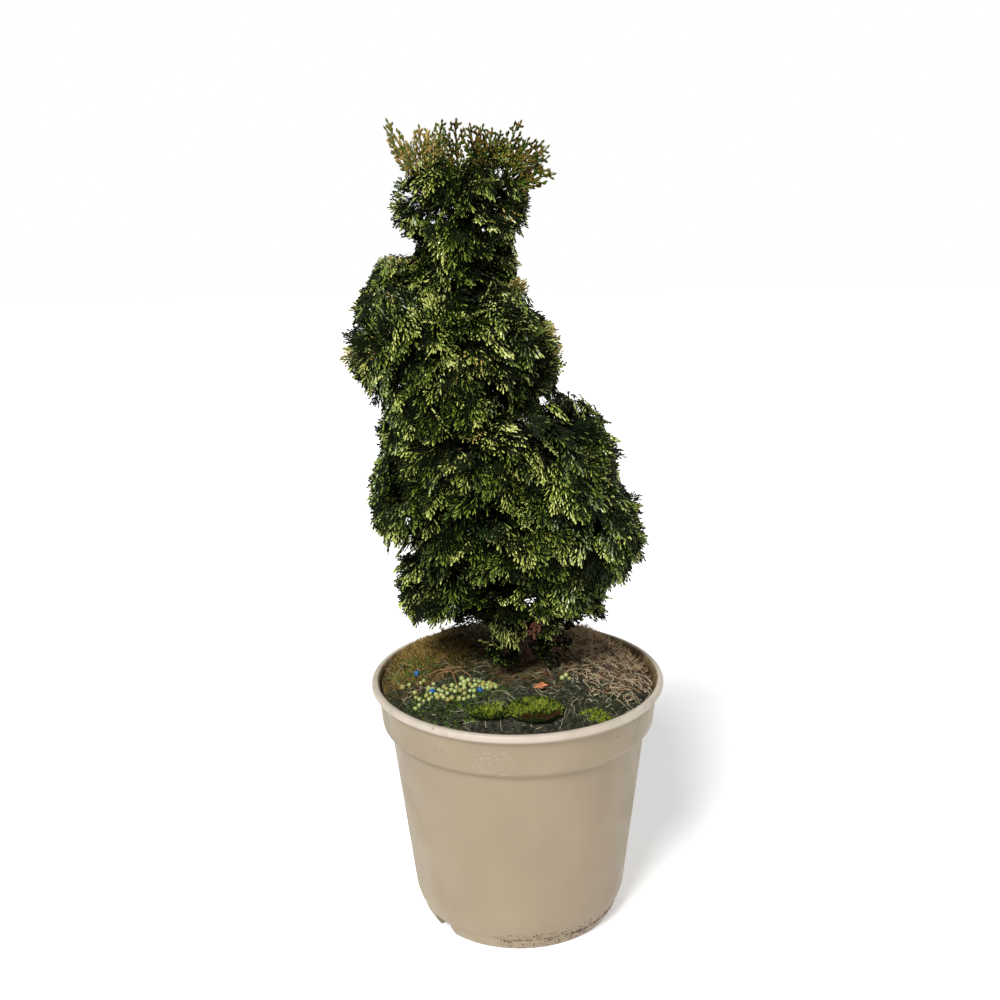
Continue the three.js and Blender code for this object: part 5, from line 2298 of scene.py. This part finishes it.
    def seam_fronds(
        self, rng: np.random.Generator, low: float, high: float, most: int, way_from: float, way_to: float
    ) -> Fronds:
        """Fronds whose tips lie on the crown's skin in the grooves between masses.

        Tries go out level from the trunk, 2 mm at a time, to the last place inside the skin. Those
        that end outside every single mass are kept, and stand square to the skin or lean on it.

        Args:
            rng: chance for where they stand.
            low: the lowest height of a tip.
            high: the highest.
            most: how many there are at most.
            way_from: the azimuth in degrees where their zone starts.
            way_to: where it ends.

        Returns:
            The fronds.
        """
        count = 8 * most
        height = rng.uniform(low, high, count)
        turn = np.radians(rng.uniform(way_from, way_to, count))
        way = np.stack([np.cos(turn), np.sin(turn), 0 * turn], -1)
        middle = self.trunk.at(np.minimum(height, self.trunk.top))
        middle[:, 2] = height
        steps = np.arange(6, 150, 2.0)
        spots = middle[:, None] + way[:, None] * steps[None, :, None]
        inside = self.skin(spots) < 1
        last = np.where(inside, steps, 0).max(1)
        tip = middle + way * last[:, None]
        groove = (self.depths(tip).min(1) > 0.985) & (last > 20)
        tip, way, middle = tip[groove][:most], way[groove][:most], middle[groove][:most]
        count = len(tip)
        step = 1.5 * np.eye(3)
        slope = np.stack([self.skin(tip + move) - self.skin(tip - move) for move in step], -1)
        out = unit(unit(slope) + way)
        level = unit(np.cross(out, np.array([0.0, 0, 1])))
        uphill = np.cross(level, out)
        turned = (self.lie(tip, out) + rng.normal(0, 0.25, count))[:, None]
        along = uphill * np.cos(turned) + level * np.sin(turned)
        stand = rng.uniform(0.35, 0.65, count)[:, None]
        axis = unit(out * stand + along * (1 - stand))
        side = unit(np.cross(axis, out) + out * rng.normal(0, 0.25, count)[:, None])
        side = unit(side - axis * np.sum(axis * side, -1, keepdims=True))
        length = rng.uniform(25, 38, count)
        root = tip - axis * (length * rng.uniform(0.96, 1.12, count))[:, None]
        suit = rng.choice([0, 1, 2, 3], count, p=[0.12, 0.28, 0.36, 0.24])
        cup = rng.uniform(0.1, 0.3, count)
        return self.opened(Fronds.of(root, axis, side, length, cup=cup, suit=suit))

    def named_fronds(self, rows: Rows, suits: Sequence[int], rng: np.random.Generator) -> Fronds:
        """Fronds from named roots to named tips, broad to the outside of the crown.

        Args:
            rows: a root and a tip for each.
            suits: the suits to choose from.
            rng: chance for the choice and a little roll.

        Returns:
            The fronds.
        """
        roots = np.array([row[0] for row in rows], float)
        tips = np.array([row[1] for row in rows], float)
        axis = unit(tips - roots)
        away = (tips - self.trunk.at(tips[:, 2])) * np.array([1, 1, 0])
        out = unit(unit(away) + np.array([0, -0.4, 0.3]))
        side = unit(np.cross(axis, out) + out * rng.normal(0, 0.15, len(out))[:, None])
        side = unit(side - axis * np.sum(axis * side, -1, keepdims=True))
        length = np.linalg.norm(tips - roots, axis=1)
        return Fronds.of(roots, axis, side, length, 26.0, 0.15, rng.choice(suits, len(roots)))

    def open_fronds(self, rng: np.random.Generator) -> Fronds:
        """The tall fronds on the head: each from inside it to a named tip, broad to the front.

        Args:
            rng: chance for the small differences.

        Returns:
            The fronds.
        """
        heads = [mass for mass in self.masses if mass.name.startswith("head")]
        rows: list[tuple] = []
        for place in self.frond_tips:
            tip = np.array(place, float)
            mass = min(heads, key=lambda m: float(np.linalg.norm(tip - m.centre)))
            way = unit(tip - mass.centre)
            start = float(mass.core_along(way[None])[0]) - 26
            root = mass.centre + way * start
            axis = unit(tip - root)
            side = unit(np.cross(np.array([rng.uniform(-0.5, 0.5), 1.0, 0.0]), axis))
            rows.append((root, axis, side, float(np.linalg.norm(tip - root))))
        count = len(rows)
        suit = np.where(np.array(self.frond_tips)[:, 0] < -62, 11, rng.choice([10, 13, 13, 13], count))
        root, axis, side, length = (np.array([row[k] for row in rows]) for k in range(4))
        return Fronds.of(root, axis, side, length, rng.uniform(20, 30, count), 0.05, suit)

    def colour(self, mass: Mass, fronds: Fronds, rng: np.random.Generator, tints: Sequence[Tint]) -> None:
        """Deals out suits as painted light and shade: darker inside and below, brighter outside and above, in
        soft patches.

        Args:
            mass: the mass.
            fronds: its fronds, whose suits are set.
            rng: chance for the small differences.
            tints: places that take other suits.
        """
        tip = fronds.root + fronds.axis * fronds.length[:, None]
        away = tip - mass.centre
        far = np.linalg.norm(away, axis=1)
        share = far / mass.radius_along(away / np.maximum(far, 1e-6)[:, None])
        patch = ripple(tip, 34, 41) + 0.6 * ripple(tip, 13, 42)
        # Painted light and shade: fronds that end deeper in the mass or point lower take darker suits.
        light = 4.5 * (share - 0.9) + 0.2 * fronds.axis[:, 2] + 0.24 * patch + rng.normal(0, 0.26, len(far))
        if mass.name.startswith("head"):
            light -= self.head_shade
        suit = np.digitize(light, self.light_steps)
        cool = (ripple(tip, 28, 43) > 0.5) & (rng.uniform(0, 1, len(far)) < 0.22)
        suit = np.where(cool, np.where(light > 0.3, 9, 8), suit)
        gold = rng.uniform(0, 1, len(far)) < 0.05
        suit = np.where(gold & (share > 0.9), 5, suit)
        for tint in tints:
            near = np.linalg.norm(tip - np.array(tint.centre), axis=1) < tint.radius
            suit = np.where(near & (rng.uniform(0, 1, len(far)) < tint.share), tint.suit, suit)
        fronds.suit = suit.astype(np.int32)

    def twigs(self, mass: Mass, sprays: Fronds) -> tuple[Array, Faces]:
        """Twigs from the mass's stem to the foot of each spray.

        Each is a curve from a place on the stem, by a point halfway and 4 mm low, to the foot,
        as a four-sided tube that tapers from 2 to 1.2 mm across.

        Args:
            mass: the mass.
            sprays: its sprays.

        Returns:
            Corners and quads.
        """
        stem = mass.bough[-1] if mass.bough is not None else self.trunk_side(mass)
        share = np.clip(0.25 + 0.6 * np.linspace(0, 1, len(sprays.root)), 0, 1)[:, None]
        start = mix(stem, mass.centre, share)
        bend = mix(start, sprays.root, 0.5) - np.array([0, 0, 4.0])
        foot = sprays.root + sprays.axis * 3
        t = np.linspace(0, 1, 5)[None, :, None]
        path = (1 - t) ** 2 * start[:, None] + 2 * t * (1 - t) * bend[:, None] + t**2 * foot[:, None]
        return twig_tubes(path, 1.0, 0.6)

    def trunk_side(self, mass: Mass) -> Array:
        """Where the stem of a close mass leaves the trunk."""
        high = min(float(mass.centre[2]), self.trunk.top - 5)
        return self.trunk.at(high) + mass.outward * self.trunk.radius(high)

    def grow(self, tints: Sequence[Tint]) -> tuple[dict[str, list], Parts]:
        """Grows every mass.

        Args:
            tints: places that take other suits.

        Returns:
            Fronds by group of masses and layer, and the twigs.
        """
        groups: dict[str, list] = {}
        wood = Parts()
        for mass in self.masses:
            rng = np.random.default_rng(SEED + 100 + mass.number)
            mains = self.held_in(mass, self.main_sprays(mass), 4)
            finer = self.held_in(mass, self.finer_sprays(mass, rng), 8)
            tufts = self.held_in(mass, self.tufts(Fronds.joined([mains, finer]), rng), 8)
            inner = self.held_in(mass, self.shade_fill_sprays(mass, rng), 6)
            outer = self.opened(Fronds.joined([mains, finer, tufts]), mass.name.startswith("foot"))
            outer.cup = outer.cup * rng.uniform(0.7, 1.5, len(outer.cup))
            self.colour(mass, outer, rng, tints)
            group = groups.setdefault(mass.name.split("_")[0], [])
            group.append((outer, inner))
            corners, faces = self.twigs(mass, Fronds.joined([mains, finer]))
            wood.add(corners, [faces])
            stem = mass.bough[-1] if mass.bough is not None else self.trunk_side(mass)
            path = mix(stem, mass.centre, np.linspace(0, 1, 6)[:, None])
            wood.add(*tube(path, mix(2.2, 1.5, np.linspace(0, 1, 6)), 8))
        return groups, wood

    def build(self, bark: bpy.types.Material, tints: Sequence[Tint]) -> list[bpy.types.Object]:
        """The foliage as pieces of under 200,000 triangles, and the twigs.

        Args:
            bark: the twigs' material.
            tints: places that take other suits.

        Returns:
            The pieces.
        """
        materials = [tone.build() for tone in FOLIAGE_TONES]
        fans = [FrondPattern.fan(SEED + k) for k in range(6)]
        coarse = FrondPattern.fan(SEED + 50, 5, (2, 1), 5.0)
        groups, wood = self.grow(tints)
        pieces = []
        for group, members in groups.items():
            rng = np.random.default_rng(SEED + 200 + len(group))
            outer = Fronds.joined([m[0] for m in members])
            LOG.info("fronds on %s: %d", group, len(outer.root))
            inner = Fronds.joined([m[1] for m in members])
            shapes = []
            for k, fan in enumerate(fans):
                shapes.append(fan.grow(outer.take(np.arange(len(outer.root)) % len(fans) == k), rng))
            # The near-black fronds inside the masses, as painted shade.
            shapes.append(coarse.grow(inner, rng))
            if group == "neck":
                shapes.append(fans[0].grow(self.trunk_fronds(rng), rng))
            if group == "foot":
                shapes.append(fans[1].grow(self.named_fronds(self.apron_rows, (2, 3, 3, 4), rng), rng))
            if group == "head":
                sprig = FrondPattern.open_sprig(SEED + 60)
                shapes.append(sprig.grow(self.open_fronds(rng), rng, 0.7, True))
                crests = ((self.crest_left, (11, 11, 7), fans[3]), (self.crest_right, (13, 13, 2), fans[4]))
                for rows, suits, fan in crests:
                    shapes.append(fan.grow(self.named_fronds(rows, suits, rng), rng, bright_back=True))
            pieces += self.foliage_pieces(f"foliage_{group}", shapes, materials)
        rng = np.random.default_rng(SEED + 300)
        seams = Fronds.joined([self.seam_fronds(rng, *zone) for zone in self.groove_zones])
        LOG.info("fronds in the grooves: %d", len(seams.root))
        shapes = [fan.grow(seams.take(np.arange(len(seams.root)) % 6 == k), rng) for k, fan in enumerate(fans)]
        shapes.append(fans[2].grow(self.named_fronds(self.shoulder_rows, (1, 2, 3), rng), rng))
        shapes.append(fans[5].grow(self.named_fronds(self.edge_rows, (3, 5, 6, 6), rng), rng))
        pieces += self.foliage_pieces("foliage_grooves", shapes, materials)
        pieces.append(wood.piece("twigs", [bark]))
        return pieces

    def pierced(self, shape: tuple) -> tuple:
        """The fingers of a shape, five corners and six triangles each, that lie clear of every gap.

        Args:
            shape: corners, triangles and tones.

        Returns:
            The same, without what lies in a gap.
        """
        fingers = shape[0].reshape(-1, 5, 3)
        middles = fingers[:, (0, 3, 4)]
        edge = 1 + 0.35 * ripple(fingers[:, 3], 3, 64)
        kept = np.ones(len(fingers), bool)
        for gap in self.gaps:
            kept &= (gap.away(middles) > edge[:, None]).all(axis=1)
        count = int(kept.sum())
        faces = shape[1].reshape(-1, 6, 3)[:1] + 5 * np.arange(count, dtype=np.int32)[:, None, None]
        return fingers[kept].reshape(-1, 3), faces.reshape(-1, 3), shape[2].reshape(-1, 6)[kept].ravel()

    def foliage_pieces(
        self, name: str, shapes: Sequence[tuple], materials: Sequence[bpy.types.Material]
    ) -> list[bpy.types.Object]:
        """Joins shapes into pieces, a new one before a piece would pass the limit of triangles.

        Args:
            name: how the pieces' names start.
            shapes: corners, triangles and tones of each.
            materials: the materials in their slots.

        Returns:
            The pieces.
        """
        pieces, batch, size = [], [], 0
        for shape in [*map(self.pierced, shapes), None]:
            if batch and (shape is None or size + len(shape[1]) > self.piece_limit):
                counts = np.cumsum([0] + [len(s[0]) for s in batch])
                corners = np.concatenate([s[0] for s in batch])
                faces = np.concatenate([s[1] + start for s, start in zip(batch, counts)])
                tones = np.concatenate([s[2] for s in batch])
                label, faces = f"{name}_{len(pieces) + 1}", faces.astype(np.int32)
                pieces.append(make_piece(label, corners, [faces], materials, tones, smooth=False))
                batch, size = [], 0
            if shape is not None:
                batch.append(shape)
                size += len(shape[1])
        return pieces


# ---- Studio -----------------------------------------------------------------------------------


@dataclass
class Studio:
    """The floor, the lights and the camera."""

    target: Spot = (-13.94, 0.0, 418.4)
    distance: float = 1393.0
    elevation: float = 16.56
    roll: float = -0.93
    lens: float = 54.0
    ambient: float = 0.25

    def floor(self) -> None:
        """A wide pale floor."""
        size = 4000.0
        corners = np.array([(-size, -size, 0), (size, -size, 0), (size, size, 0), (-size, size, 0)])
        material, _, shader = new_material("floor")
        shader.inputs["Base Color"].default_value = (0.93, 0.93, 0.93, 1)
        shader.inputs["Roughness"].default_value = 0.9
        shader.inputs["Emission Color"].default_value = (1, 1, 1, 1)
        shader.inputs["Emission Strength"].default_value = 0.3
        floor = make_piece("floor", corners, [np.array([[0, 1, 2, 3]], np.int32)], [material], smooth=False)

    def lights(self) -> None:
        """A white surrounding, a soft key from the upper left front, and weak lights elsewhere."""
        world = bpy.data.worlds.new("studio")
        world.use_nodes = True
        tree = Tree(world.node_tree)
        shown = tree.add("LightPath").outputs["Is Camera Ray"]
        background = world.node_tree.nodes["Background"]
        background.inputs["Color"].default_value = (1, 1, 1, 1)
        strength = tree.add("MapRange", None, i0=shown, i3=self.ambient, i4=1.0).outputs[0]
        tree.put(background.inputs["Strength"], strength)
        bpy.context.scene.world = world
        self.sun("key", (-0.42, -0.9, 1.0), 20, 3.6)
        self.sun("fill", (0.8, -1.0, 0.35), 60, 0.35)
        self.sun("back", (0.5, 1.0, 0.7), 70, 0.7)

    def sun(self, name: str, place: Spot, angle: float, power: float) -> None:
        """One broad far light that shines from the given direction.

        Args:
            name: its name.
            place: where it shines from.
            angle: its breadth in degrees.
            power: its strength.
        """
        lamp = bpy.data.lights.new(name, "SUN")
        lamp.angle, lamp.energy = math.radians(angle), power
        light = bpy.data.objects.new(name, lamp)
        bpy.context.scene.collection.objects.link(light)
        light.location = Vector(place) * 2
        light.rotation_euler = (-Vector(place)).to_track_quat("-Z", "Y").to_euler()

    def camera(self) -> None:
        """The camera: level with +Y, tipped down by the elevation, turned a little about its axis."""
        tip, turn = math.radians(self.elevation), math.radians(self.roll)
        look = Vector((0, math.cos(tip), -math.sin(tip)))
        right = Vector((1, 0, 0))
        up = right.cross(look)
        across = right * math.cos(turn) + up * math.sin(turn)
        above = -right * math.sin(turn) + up * math.cos(turn)
        place = (Vector(self.target) - look * self.distance) * MM
        data = bpy.data.cameras.new("camera")
        data.lens, data.sensor_width, data.sensor_fit = self.lens, 36.0, "HORIZONTAL"
        data.clip_start, data.clip_end = 0.05, 50
        camera = bpy.data.objects.new("camera", data)
        bpy.context.scene.collection.objects.link(camera)
        axes = Matrix((across, above, -look)).transposed()
        camera.matrix_world = Matrix.Translation(place) @ axes.to_4x4()
        bpy.context.scene.camera = camera

    def build(self) -> None:
        """Camera first, then floor and lights."""
        self.camera()
        self.floor()
        self.lights()
        bpy.context.scene.view_settings.view_transform = "Standard"


# ---- Assembly ---------------------------------------------------------------------------------

TINTS = (
    Tint((73, -70, 508), 22, 5, 0.6),
    Tint((118, -40, 408), 26, 5, 0.8),
    Tint((4, -90, 460), 16, 5, 0.5),
    Tint((-51, -80, 541), 18, 5, 0.5),
    Tint((33, -60, 580), 16, 6, 0.8),
    Tint((-148, -10, 556), 16, 4, 0.9),
    Tint((118, -30, 396), 18, 6, 0.5),
    Tint((-60, 0, 735), 24, 11, 0.5),
    Tint((0, -10, 705), 42, 13, 0.6),
    Tint((-12, -25, 668), 24, 5, 0.35),
)


def dress(piece: bpy.types.Object, slot: str, *nodes: str) -> None:
    """Puts a piece on the plant's one body, for the nodes that it stands for.

    Args:
        piece: the piece.
        slot: not used.
        nodes: the nodes it replaces.
    """
    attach(piece, "root")
    if nodes:
        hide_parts(*nodes)
    LOG.info("%s: %d faces", piece.name, len(piece.data.polygons))


def main() -> None:
    """Builds the studio, the pot, the soil, the trunk and the crown, and logs each piece's number of faces."""
    logging.basicConfig(level=logging.INFO, format="%(message)s")
    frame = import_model()
    Studio().build()
    names = sorted(frame["nodes"])

    pot, soil = Pot(), Soil()
    dress(pot.build(), "pot_plastic", "pot")
    dress(soil.build(pot), "earth", "soil")
    for piece in Litter(soil).build():
        dress(piece, "moss")
    dress(Moss(soil).build(), "moss", "moss_cushion", "moss_patch")
    oddments = Oddments(soil)
    dress(oddments.berries(), "foliage")
    dress(oddments.stalk(), "bark")
    dress(oddments.leaf(), "foliage")
    dress(oddments.sprig(), "foliage")

    trunk = Trunk()
    bark = Bark().build()
    crown = Crown(trunk, soil)
    dress(trunk.build(bark), "bark", "trunk")
    dress(crown.boughs(bark), "bark", *[n for n in names if n.startswith("bough_")])
    for piece in crown.build(bark, TINTS):
        group = piece.name.split("_")[1] if piece.name.startswith("foliage_") else None
        nodes = [m.name for m in crown.masses if group and m.name.startswith(group)]
        dress(piece, "foliage" if group else "bark", *nodes)


if __name__ == "__main__":
    main()
